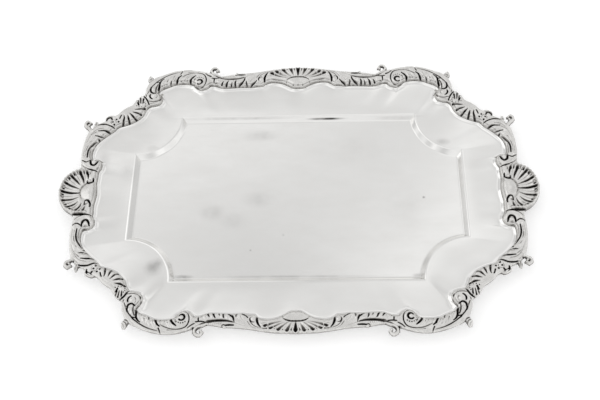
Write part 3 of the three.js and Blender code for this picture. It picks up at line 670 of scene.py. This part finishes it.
# Where each pattern lies in the quadrant, the joints it ends at with the side it lies on (1 is
# left of the outward line), and the coordinate that flips where it crosses a centre plane.
SPANS = {
    "side_shell": ((0, 56, 136, 173), [(SHELL_TO_LEAF, 1)], "x"),
    "side_leaf": ((46, 110, 136, 173), [(SHELL_TO_LEAF, -1), (LEAF_TO_VOLUTE, 1)], None),
    "volute_leaf": ((100, 152, 134, 171), [(LEAF_TO_VOLUTE, -1), (VOLUTE_TO_CORNER, 1)], None),
    "corner_scroll": ((134, 187, 112, 170), [(VOLUTE_TO_CORNER, -1), (CORNER_TO_SHELL, 1)], None),
    "corner_shell": ((168, 230, 82, 137), [(CORNER_TO_SHELL, -1), (SHELL_TO_SCROLL, 1)], None),
    "end_scroll": ((203, 252, 22, 100), [(SHELL_TO_SCROLL, -1), (SCROLL_TO_END, 1)], None),
    "end_shell": ((217, 267, 0, 31.5), [(SCROLL_TO_END, -1)], "y"),
}
FIELDS = ("x", "y", "z", "back", "tarnish", "body", "from_outer", "inward_x", "inward_y",
          "from_inner", "outward_x", "outward_y")
RIM_PASSES = 6  # rounds of smoothing along a casting's rim
SNAP_EDGE, SNAP_JOINT = 1.6 * PITCH, 1.5 * PITCH  # rim points this close move onto the line
UNDERSIDE_DARKENING = 0.25  # how much darker the castings' undersides are made
CAST_ANGLE, SHEET_ANGLE = 65, 24  # edges sharper than this many degrees stay crisp


def unfolded(relief, pattern):
    """The map's fields over one pattern, with both halves where it lies on a centre plane."""
    span, _, mirrored = SPANS[pattern]
    window = relief.window(*span)
    fields = {name: getattr(relief, name)[window] for name in FIELDS}
    if mirrored:
        axis, skip = (1, (slice(None), slice(1, None))) if mirrored == "x" else (0, slice(1, None))
        for name, field in fields.items():
            other = np.flip(field[skip], axis)
            if name in (mirrored, "inward_" + mirrored, "outward_" + mirrored):
                other = -other
            fields[name] = np.concatenate([other, field], axis)
    return fields


def whole_cells(metal):
    """Which points of a grid lie on a cell that is all metal, and those cells as quads."""
    cells = metal[:-1, :-1] & metal[1:, :-1] & metal[:-1, 1:] & metal[1:, 1:]
    used = np.zeros(metal.shape, bool)
    for rows in (slice(0, -1), slice(1, None)):
        for cols in (slice(0, -1), slice(1, None)):
            used[rows, cols] |= cells
    index = np.full(used.shape, -1)
    index[used] = np.arange(used.sum())
    r, c = np.nonzero(cells)
    return used, np.stack([index[r, c], index[r, c + 1], index[r + 1, c + 1], index[r + 1, c]], axis=1)


def rim_edges(quads, count):
    """The edges that only one quad uses, in that quad's direction."""
    edges = np.concatenate([quads[:, [k, (k + 1) % 4]] for k in range(4)])
    key = edges.min(1).astype(np.int64) * count + edges.max(1)
    _, first, times = np.unique(key, return_index=True, return_counts=True)
    return edges[first[times == 1]]


def smooth_rim(plan, rim, on_rim):
    """Evens out the steps that the grid leaves along the rim."""
    for _ in range(RIM_PASSES):
        total = np.zeros_like(plan)
        links = np.zeros(len(plan))
        for a, b in ((0, 1), (1, 0)):
            np.add.at(total, rim[:, a], plan[rim[:, b]])
            np.add.at(links, rim[:, a], 1)
        plan[on_rim] = 0.5 * plan[on_rim] + 0.5 * total[on_rim] / links[on_rim][:, None]


def casting_surface(relief, pattern, tallest):
    """Vertices, faces, and patina with painted shade, of one closed casting, cut from the height map."""
    joints = SPANS[pattern][1]
    fields = unfolded(relief, pattern)
    metal = fields["z"] > EMPTY / 2
    for joint, left in joints:
        metal &= left * side_of(joint, np.abs(fields["x"]), np.abs(fields["y"])) > 0
    used, quads = whole_cells(metal)
    at = {name: field[used] for name, field in fields.items()}
    grid = np.column_stack([at["x"], at["y"]])
    count = len(grid)
    rim = rim_edges(quads, count)
    on_rim = np.unique(rim)
    plan = grid.copy()
    smooth_rim(plan, rim, on_rim)
    limit = tallest - SOFT_LIMIT
    over = at["z"] - limit
    top = np.where(over > 0, limit + SOFT_LIMIT * (1 - np.exp(-over / SOFT_LIMIT)), at["z"])

    # The rim follows the border's two edges exactly, and closes up to the joints, so that
    # neighbours meet in a hairline.
    for away, slope, foot in (("from_inner", "outward", LIP_FOOT), ("from_outer", "inward", ROLL_FOOT)):
        edge = on_rim[(at["body"] & (at[away] < SNAP_EDGE))[on_rim]]
        normal = np.column_stack([at[slope + "_x"], at[slope + "_y"]])
        plan[edge] = (grid - normal * at[away][:, None])[edge]
        top[edge] = np.minimum(top[edge], foot)
    signs = np.where(grid < 0, -1, 1)
    for joint, left in joints:
        (px, py), (qx, qy) = joint
        normal = left * np.array([py - qy, qx - px]) / math.hypot(qx - px, qy - py)
        start = left * side_of(joint, *np.abs(grid).T)
        near = on_rim[start[on_rim] < SNAP_JOINT]
        gap = left * side_of(joint, *np.abs(plan[near]).T) - JOINT_GAP / 2
        plan[near] -= gap[:, None] * normal * signs[near]

    inward = np.column_stack([at["inward_x"], at["inward_y"]])
    fade = smoothstep(1 - at["from_outer"] / LEAN_REACH) * at["body"]

    def leaned(height):
        shift = LEAN * np.maximum(0, LEAN_BELOW - height) * fade
        return plan + inward * shift[:, None]

    foot = leaned(np.full(count, SKIRT_Z / 2))
    bottom = (SKIRT_Z - UNDER_SKIRT) * smoothstep(past_sheet(*np.abs(foot).T) / SKIRT_RUN)
    bottom = np.where(at["body"], bottom, np.maximum(bottom, at["back"]))
    top = np.maximum(top, bottom + LEAST_METAL)
    upper = np.column_stack([leaned(top), LAND_Z + top])
    lower = np.column_stack([foot, LAND_Z + bottom])
    walls = np.stack([rim[:, 1], rim[:, 0], rim[:, 0] + count, rim[:, 1] + count], axis=1)
    faces = np.vstack([quads, quads[:, ::-1] + count, walls])
    tarnish = np.concatenate([at["tarnish"], np.full(count, UNDERSIDE_DARKENING)])
    return np.vstack([upper, lower]), faces, tarnish


def casting(node, surface, material, sx, sy):
    """One copy of a casting, mirrored to its place, with its patina and painted shade kept on its points.
    """
    vertices, faces, tarnish = surface
    if sx * sy < 0:
        faces = faces[:, ::-1]
    made = new_object(node + "_cast", vertices * (sx, sy, 1), faces.tolist(), CAST_ANGLE)
    # Point attribute that carries the patina and the painted shade.
    layer = made.data.attributes.new("tarnish", "FLOAT", "POINT")
    layer.data.foreach_set("value", tarnish.astype(np.float32))
    made.data.materials.append(material)
    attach(made, "root")
    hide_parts(node)


STRAIGHT_STEPS, ARC_STEPS = 44, 40
RING_COUNTS = (STRAIGHT_STEPS, ARC_STEPS, STRAIGHT_STEPS)
# Where the rings' corner stretch starts and ends on the land's inner edge and on the sheet's edge.
LAND_CORNERS = ((160, 134), (231, 63))
EDGE_CORNERS = ((174, 131), (236, 72))


def well_outline(inset):
    """One quadrant of the well at a distance inside its shoulder, from +Y round to +X."""
    radius = NOTCH_R + inset
    slack = math.asin(inset / radius)
    reach = radius * math.cos(slack)
    side = [(x, WELL_Y - inset) for x in np.linspace(0, WELL_X - reach, STRAIGHT_STEPS, endpoint=False)]
    corner = [
        (WELL_X + radius * math.cos(a), WELL_Y + radius * math.sin(a))
        for a in np.linspace(math.pi + slack, 1.5 * math.pi - slack, ARC_STEPS, endpoint=False)
    ]
    end = [(WELL_X - inset, y) for y in np.linspace(WELL_Y - reach, 0, STRAIGHT_STEPS)]
    return np.array(side + corner + end)


def matched(curve, anchors, counts):
    """Resamples a quadrant curve so that its anchors fall where the well's corners do."""
    steps = np.linalg.norm(np.diff(curve, axis=0), axis=1)
    run = np.concatenate([[0], np.cumsum(steps)])
    stops = [0] + [int(np.hypot(*(curve - a).T).argmin()) for a in anchors] + [len(curve) - 1]
    parts = []
    for k, count in enumerate(counts):
        last = k == len(counts) - 1
        places = np.linspace(run[stops[k]], run[stops[k + 1]], count, endpoint=last)
        parts.append(np.column_stack([np.interp(places, run, curve[:, i]) for i in (0, 1)]))
    return np.vstack(parts)


def whole_ring(quadrant):
    """A closed ring from one quadrant that runs from +Y to +X."""
    right = np.vstack([quadrant, (quadrant * (1, -1))[::-1][1:]])
    return np.vstack([right, (right * (-1, 1))[::-1][1:-1]])


# Cross-section of the well wall: distance inside the shoulder, and height.
WELL_PROFILE = [
    (22, SHEET), (7.6, SHEET), (6.4, SHEET), (5.6, SHEET), (4.9, SHEET + 0.06), (4.5, SHEET + 0.3),
    (4.2, SHEET + 0.65), (0.7, SHOULDER_Z - 0.6), (0.35, SHOULDER_Z - 0.2), (0.0, SHOULDER_Z + 0.05),
    (-0.5, SHOULDER_Z + 0.22), (-1.0, SHOULDER_Z + 0.12), (-1.5, SHOULDER_Z - 0.02), (-2.2, SHOULDER_Z)
]
LAND_DIP = 0.15  # the upturned edge ends this far below the land's top
BRIM_RINGS, RING_CROWDING = 28, 1.9  # the brim's rings crowd towards the border


def sheet_quadrants():
    """One quadrant of each ring of the sheet's upper face, from the well outwards, with its height."""
    for inset, z in WELL_PROFILE:
        shoulder = well_outline(inset)
        yield shoulder, np.full(len(shoulder), z)
    land = matched(INNER_EDGE, LAND_CORNERS, RING_COUNTS)
    edge = matched(SHEET_EDGE, EDGE_CORNERS, RING_COUNTS)
    for k in range(1, BRIM_RINGS + 1):
        t = 1 - (1 - k / BRIM_RINGS) ** RING_CROWDING
        ring = shoulder + (land - shoulder) * t
        brim = SHOULDER_Z + BRIM_RISE * smoothstep(t)
        brim += BRIM_FLARE * t**FLARE_POWER
        lift = np.clip(1 - distance_to(INNER_EDGE, *ring.T) / UPTURN, 0, 1) ** 2
        yield ring, brim + (LAND_Z - LAND_DIP - brim) * lift
    for t, drop in ((0.2, 0.1), (0.6, 0.05), (1.0, 0.0)):
        yield land + (edge - land) * t, np.full(len(land), LAND_Z - drop)


def tray_surface():
    """Vertices and faces of the sheet body."""
    rings = []
    for quadrant, z in sheet_quadrants():
        right = np.concatenate([z, z[::-1][1:]])
        heights = np.concatenate([right, right[::-1][1:-1]])
        rings.append(np.column_stack([whole_ring(quadrant), heights]))
    stack = [ring - (0, 0, SHEET) for ring in rings] + rings[::-1]
    count = len(rings[0])
    points = np.vstack(stack + [[(0, 0, 0)], [(0, 0, SHEET)]])
    i = np.arange(count)
    j = (i + 1) % count
    faces = []
    for ring in range(len(stack) - 1):
        a, b = ring * count, (ring + 1) * count
        faces += np.stack([a + j, a + i, b + i, b + j], axis=1).tolist()
    last = (len(stack) - 1) * count
    centre_below, centre_above = len(points) - 2, len(points) - 1
    faces += [[centre_below, b, a] for a, b in zip(i[::-1], j[::-1])]
    faces += [[centre_above, last + a, last + b] for a, b in zip(j, i)]
    return points, faces


# ---- materials -------------------------------------------------------------------------------

class Nodes:
    """Short names for building the node tree of a material or of the world."""

    def __init__(self, owner):
        owner.use_nodes = True
        self.owner = owner
        self.tree = owner.node_tree
        self.shader = self.tree.nodes.get("Principled BSDF")

    def add(self, kind, inputs=None, **settings):
        """A new node, with the values of its free inputs and its other settings."""
        node = self.tree.nodes.new(kind)
        for name, value in settings.items():
            setattr(node, name, value)
        for name, value in (inputs or {}).items():
            node.inputs[name].default_value = value
        return node

    def link(self, source, target):
        self.tree.links.new(source, target)

    def position(self, scale, location=(0, 0, 0), turn=0.0, source="Object"):
        """Coordinates that are scaled, turned about Z and moved."""
        inputs = {"Location": location, "Rotation": (0, 0, turn), "Scale": scale}
        mapping = self.add("ShaderNodeMapping", inputs)
        self.link(self.add("ShaderNodeTexCoord").outputs[source], mapping.inputs["Vector"])
        return mapping.outputs["Vector"]

    def noise(self, scale, detail=4.0, roughness=0.55, place=None):
        inputs = {"Scale": scale, "Detail": detail, "Roughness": roughness}
        texture = self.add("ShaderNodeTexNoise", inputs)
        self.link(place or self.position((1, 1, 1)), texture.inputs["Vector"])
        return texture.outputs["Fac"]

    def ramp(self, value, low, high, to_low=0.0, to_high=1.0, kind="LINEAR"):
        inputs = {"From Min": low, "From Max": high, "To Min": to_low, "To Max": to_high}
        curve = self.add("ShaderNodeMapRange", inputs, interpolation_type=kind)
        self.link(value, curve.inputs["Value"])
        return curve.outputs["Result"]

    def math(self, operation, a, b):
        node = self.add("ShaderNodeMath", operation=operation)
        for socket, value in zip(node.inputs, (a, b)):
            if isinstance(value, (int, float)):
                socket.default_value = value
            else:
                self.link(value, socket)
        return node.outputs["Value"]

    def mix(self, factor, a, b):
        node = self.add("ShaderNodeMix", data_type="RGBA")
        self.link(factor, node.inputs["Factor"])
        for socket, colour in ((node.inputs["A"], a), (node.inputs["B"], b)):
            if isinstance(colour, tuple):
                socket.default_value = colour
            else:
                self.link(colour, socket)
        return node.outputs["Result"]

    def bump(self, height, strength, distance):
        """Fine unevenness of the surface; the distance is in millimetres."""
        node = self.add("ShaderNodeBump", {"Strength": strength, "Distance": distance * MM})
        self.link(height, node.inputs["Height"])
        self.link(node.outputs["Normal"], self.shader.inputs["Normal"])

    def spot(self, x, y, size_x, size_y, strength):
        """A soft round mask about a place in plan, in millimetres."""
        scale = (1 / (size_x * MM), 1 / (size_y * MM), 0)
        away = self.add("ShaderNodeVectorMath", operation="LENGTH")
        self.link(self.position(scale, (-x / size_x, -y / size_y, 0)), away.inputs[0])
        return self.ramp(away.outputs["Value"], 1.6, 0.0, 0.0, strength, "SMOOTHSTEP")

    def scratches(self, angle, scale, threshold):
        """Hair scratches that run one way, as a 0 to 1 mask."""
        place = self.position((scale * 0.025, scale, scale), turn=math.radians(angle))
        return self.ramp(self.noise(1.0, 2.0, 0.5, place), threshold, threshold + 0.05)


SILVER = (0.90, 0.895, 0.88, 1)
SILVER_DULL = (0.80, 0.79, 0.77, 1)
SMUDGE_AND_SHADE_GREY = (0.48, 0.475, 0.465, 1)
CAST = (0.80, 0.79, 0.77, 1)
CAST_DULL = (0.62, 0.61, 0.59, 1)
# CAST_GREY is the mid tone of patina and painted shade in the castings' recesses.
CAST_GREY = (0.24, 0.23, 0.22, 1)
# Darkest tone: patina and painted shade in the castings' recesses, and on the sheet a pit and the painted
# bevel shade and reflection streak.
TARNISH_AND_SHADE = (0.05, 0.046, 0.043, 1)
# Soft marks on the sheet: place in plan, size along X and Y, and strength; over 1 turns dark. The first
# twelve are smudges, smears and pits; the next eight, along the well's bevels and at two concave corners,
# are painted shade, with a painted reflection streak at (33, 101.6); the last two are faint broad
# darkening.
SMUDGES_AND_SHADE = ((-44, 81, 18, 7, 0.45), (-94, -19, 11, 9, 0.35), (-70, -30, 14, 9, 0.25),
           (-42, -4, 16, 9, 0.28), (-153, -88, 9, 8, 0.9), (-147, -82, 5, 5, 0.5), (-189, 31, 10, 14, 0.3),
           (-219, 47, 7, 12, 0.4), (19, -104, 34, 3, 0.3), (139, -3, 1.5, 1.5, 1.6),
           (-15, -48, 1.0, 1.0, 0.9), (-50, -66, 1.1, 1.1, 0.9), (33, 101.6, 18, 0.9, 2.4),
           (-70, 102.8, 56, 1.2, 0.7), (120, 101.5, 22, 1.4, 0.5), (-121, -96.8, 10, 2.2, 1.2),
           (128, -97, 6, 2.2, 0.9), (-6, -97.4, 76, 1.6, 0.55), (164, 66, 7, 4, 0.5), (-166, 62, 6, 4, 0.4),
           (120, -14, 22, 30, 0.12), (60, 60, 40, 20, 0.10))


def sheet_silver():
    """Polished sheet with smears, hair scratches, a few dull patches, and painted shade and a painted
    reflection streak on the well's bevels.
    """
    n = Nodes(bpy.data.materials.new("sheet_silver"))
    smears = n.noise(22.0, 6.0, place=n.position((1.0, 2.2, 1.0)))
    fine = n.noise(420.0, 2.0)
    marks = n.scratches(88, 900, 0.70)
    for angle, scale, threshold in ((79, 700, 0.71), (101, 1100, 0.71), (38, 600, 0.73)):
        marks = n.math("MAXIMUM", marks, n.scratches(angle, scale, threshold))
    cloudy = n.ramp(n.noise(55.0, 5.0), 0.35, 0.62)
    # Smudges and pits, plus painted shade and a painted reflection streak along the well's bevels and
    # corners.
    smudge_and_shade = 0.0
    for mark in SMUDGES_AND_SHADE:
        smudge_and_shade = n.math("ADD", n.spot(*mark), smudge_and_shade)
    smudge_and_shade = n.math("MULTIPLY", smudge_and_shade, n.ramp(cloudy, 0.0, 1.0, 0.35, 1.0))
    colour = n.mix(n.ramp(smears, 0.35, 0.75, 0.0, 0.45), SILVER, SILVER_DULL)
    colour = n.mix(n.math("MINIMUM", smudge_and_shade, 1.0), colour, SMUDGE_AND_SHADE_GREY)
    # The strongest marks go dark: a pit, and the painted shade and reflection streak on the bevels.
    n.link(n.mix(n.ramp(smudge_and_shade, 0.9, 1.8), colour, TARNISH_AND_SHADE), n.shader.inputs["Base Color"])
    rough = n.ramp(smears, 0.3, 0.7, 0.08, 0.14)
    rough = n.math("ADD", rough, n.math("MULTIPLY", marks, 0.12))
    rough = n.math("ADD", rough, n.ramp(fine, 0.3, 0.7, 0.0, 0.03))
    n.link(rough, n.shader.inputs["Roughness"])
    n.bump(n.math("SUBTRACT", n.math("MULTIPLY", smears, 0.6), n.math("MULTIPLY", marks, 0.02)), 0.25, 0.25)
    n.shader.inputs["Metallic"].default_value = 1.0
    return n.owner


def cast_silver():
    """Cast silver: bright on the high parts, with dark patina and painted shade in the recesses."""
    n = Nodes(bpy.data.materials.new("cast_silver"))
    held = n.add("ShaderNodeAttribute", attribute_name="tarnish").outputs["Fac"]
    patches = n.noise(160.0, 5.0)
    grain = n.noise(900.0, 3.0)
    # Darkening from the point attribute: patina and painted shade, varied by noise patches.
    dark = n.math("MULTIPLY", held, n.ramp(patches, 0.25, 0.7, 0.75, 1.25))
    clean = n.mix(n.ramp(patches, 0.35, 0.75, 0.0, 0.7), CAST, CAST_DULL)
    grey = n.mix(n.ramp(dark, 0.02, 0.40), clean, CAST_GREY)
    n.link(n.mix(n.ramp(dark, 0.35, 0.95), grey, TARNISH_AND_SHADE), n.shader.inputs["Base Color"])
    rough = n.math("ADD", n.ramp(patches, 0.3, 0.7, 0.22, 0.30), n.math("MULTIPLY", dark, 0.3))
    n.link(rough, n.shader.inputs["Roughness"])
    n.bump(n.math("ADD", grain, n.math("MULTIPLY", patches, 1.5)), 0.3, 0.2)
    n.shader.inputs["Metallic"].default_value = 1.0
    return n.owner


FLOOR_GLOW = 0.31  # the floor is a light table
FLOOR_HALF = 20000.0  # far enough that its edge is never seen


def floor_paper():
    """Plain white paper that glows a little."""
    n = Nodes(bpy.data.materials.new("floor_paper"))
    n.shader.inputs["Base Color"].default_value = (0.90, 0.90, 0.90, 1)
    n.shader.inputs["Emission Color"].default_value = (1, 1, 1, 1)
    n.shader.inputs["Emission Strength"].default_value = FLOOR_GLOW
    n.link(n.ramp(n.noise(60.0, 3.0), 0.0, 1.0, 0.8, 0.95), n.shader.inputs["Roughness"])
    return n.owner


# ---- the object ------------------------------------------------------------------------------

def build_tray():
    points, faces = tray_surface()
    made = new_object("tray_sheet", points, faces, SHEET_ANGLE)
    made.data.materials.append(sheet_silver())
    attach(made, "root")
    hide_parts("tray_body")


SIDES = (("back", 1), ("front", -1))
ENDS = (("right", 1), ("left", -1))


def build_border():
    """Every casting: a side shell on each side, an end shell at each end, the rest at each corner."""
    material = cast_silver()
    relief = draw_border()
    for pattern, (_, _, mirrored) in SPANS.items():
        copies = {
            "_".join(filter(None, (pattern, side, end))): (sx, sy)
            for side, sy in (SIDES if mirrored != "y" else [(None, 1)])
            for end, sx in (ENDS if mirrored != "x" else [(None, 1)])
        }
        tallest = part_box(next(iter(copies)))[1].z / MM - LAND_Z
        surface = casting_surface(relief, pattern, tallest)
        for node, (sx, sy) in copies.items():
            casting(node, surface, material, sx, sy)


# ---- floor, light and camera -----------------------------------------------------------------

def build_floor():
    corners = [(x * FLOOR_HALF, y * FLOOR_HALF, 0) for x, y in ((-1, -1), (1, -1), (1, 1), (-1, 1))]
    floor = new_object("floor", corners, [(0, 1, 2, 3)], SHEET_ANGLE)
    floor.data.materials.append(floor_paper())


# Radiance of the room: a white tent, a little darker low down on the side of the camera and
# towards the horizon, with soft clouds of light and shade.
ROOM_LIGHT = 0.88
ROOM_SHADE = 0.10
ROOM_CLOUDS = 0.22
HORIZON_SHADE = 0.18
ROOM_SHADE_AXIS = (0.0, -0.97, 0.24)


def build_room():
    world = bpy.data.worlds.new("studio")
    n = Nodes(world)
    background = n.tree.nodes["Background"]
    background.inputs["Color"].default_value = (1, 1, 1, 1)
    direction = n.add("ShaderNodeTexCoord").outputs["Generated"]

    def fade_to(axis, low, high, to_low, to_high):
        """Goes from one value to another as a direction of the room nears an axis."""
        along = n.add("ShaderNodeVectorMath", {1: axis}, operation="DOT_PRODUCT")
        n.link(direction, along.inputs[0])
        return n.ramp(along.outputs["Value"], low, high, to_low, to_high, "SMOOTHSTEP")

    near_camera = fade_to(ROOM_SHADE_AXIS, 0.75, 1.0, ROOM_LIGHT, ROOM_LIGHT - ROOM_SHADE)
    horizon = fade_to((0, 0, 1), 0.0, 0.5, 1.0 - HORIZON_SHADE, 1.0)
    clouds = n.noise(2.6, 1.0, 0.5, n.position((-1, 1, 1), source="Generated"))
    clouds = n.ramp(clouds, 0.35, 0.65, 1 - ROOM_CLOUDS, 1 + ROOM_CLOUDS)
    strength = n.math("MULTIPLY", n.math("MULTIPLY", near_camera, horizon), clouds)
    n.link(strength, background.inputs["Strength"])
    bpy.context.scene.world = world


BOX_PLACE = Vector((-1.6, 0.5, 1.5))
BOX_SIZE = 1.6
BOX_POWER = 3


def build_light():
    """One weak soft box at the left of the white room, turned towards the tray."""
    build_room()
    data = bpy.data.lights.new("left_box", "AREA")
    data.shape = "RECTANGLE"
    data.size = BOX_SIZE
    data.size_y = BOX_SIZE
    data.energy = BOX_POWER
    light = bpy.data.objects.new("left_box", data)
    light.location = BOX_PLACE
    light.rotation_euler = (-BOX_PLACE).to_track_quat("-Z", "Y").to_euler()
    bpy.context.scene.collection.objects.link(light)
    bpy.context.scene.view_settings.view_transform = "Standard"


CAMERA_HEIGHT_ANGLE = math.radians(60.0)
CAMERA_TURN = math.radians(4.20)
CAMERA_ROLL = math.radians(-4.31)
CAMERA_DISTANCE = 1.0
SENSOR_MM = 36.0
LENS_MM = 54.47
SHIFT_X, SHIFT_Y = 0.0045, -0.0099


def build_camera():
    lift, turn = CAMERA_HEIGHT_ANGLE, CAMERA_TURN
    back = Vector((math.sin(turn) * math.cos(lift), -math.cos(turn) * math.cos(lift), math.sin(lift)))
    right = Vector((math.cos(turn), math.sin(turn), 0))
    up = back.cross(right)
    cos_roll, sin_roll = math.cos(CAMERA_ROLL), math.sin(CAMERA_ROLL)
    right, up = cos_roll * right + sin_roll * up, cos_roll * up - sin_roll * right
    data = bpy.data.cameras.new("camera")
    data.sensor_width = SENSOR_MM
    data.lens = LENS_MM
    data.shift_x = SHIFT_X
    data.shift_y = SHIFT_Y
    camera = bpy.data.objects.new("camera", data)
    turned = Matrix((right, up, back)).transposed().to_4x4()
    place = Vector((0, 0, SHOULDER_Z * MM)) + back * CAMERA_DISTANCE
    camera.matrix_world = Matrix.Translation(place) @ turned
    bpy.context.scene.collection.objects.link(camera)
    bpy.context.scene.camera = camera


build_camera()
build_light()
build_floor()
build_tray()
build_border()
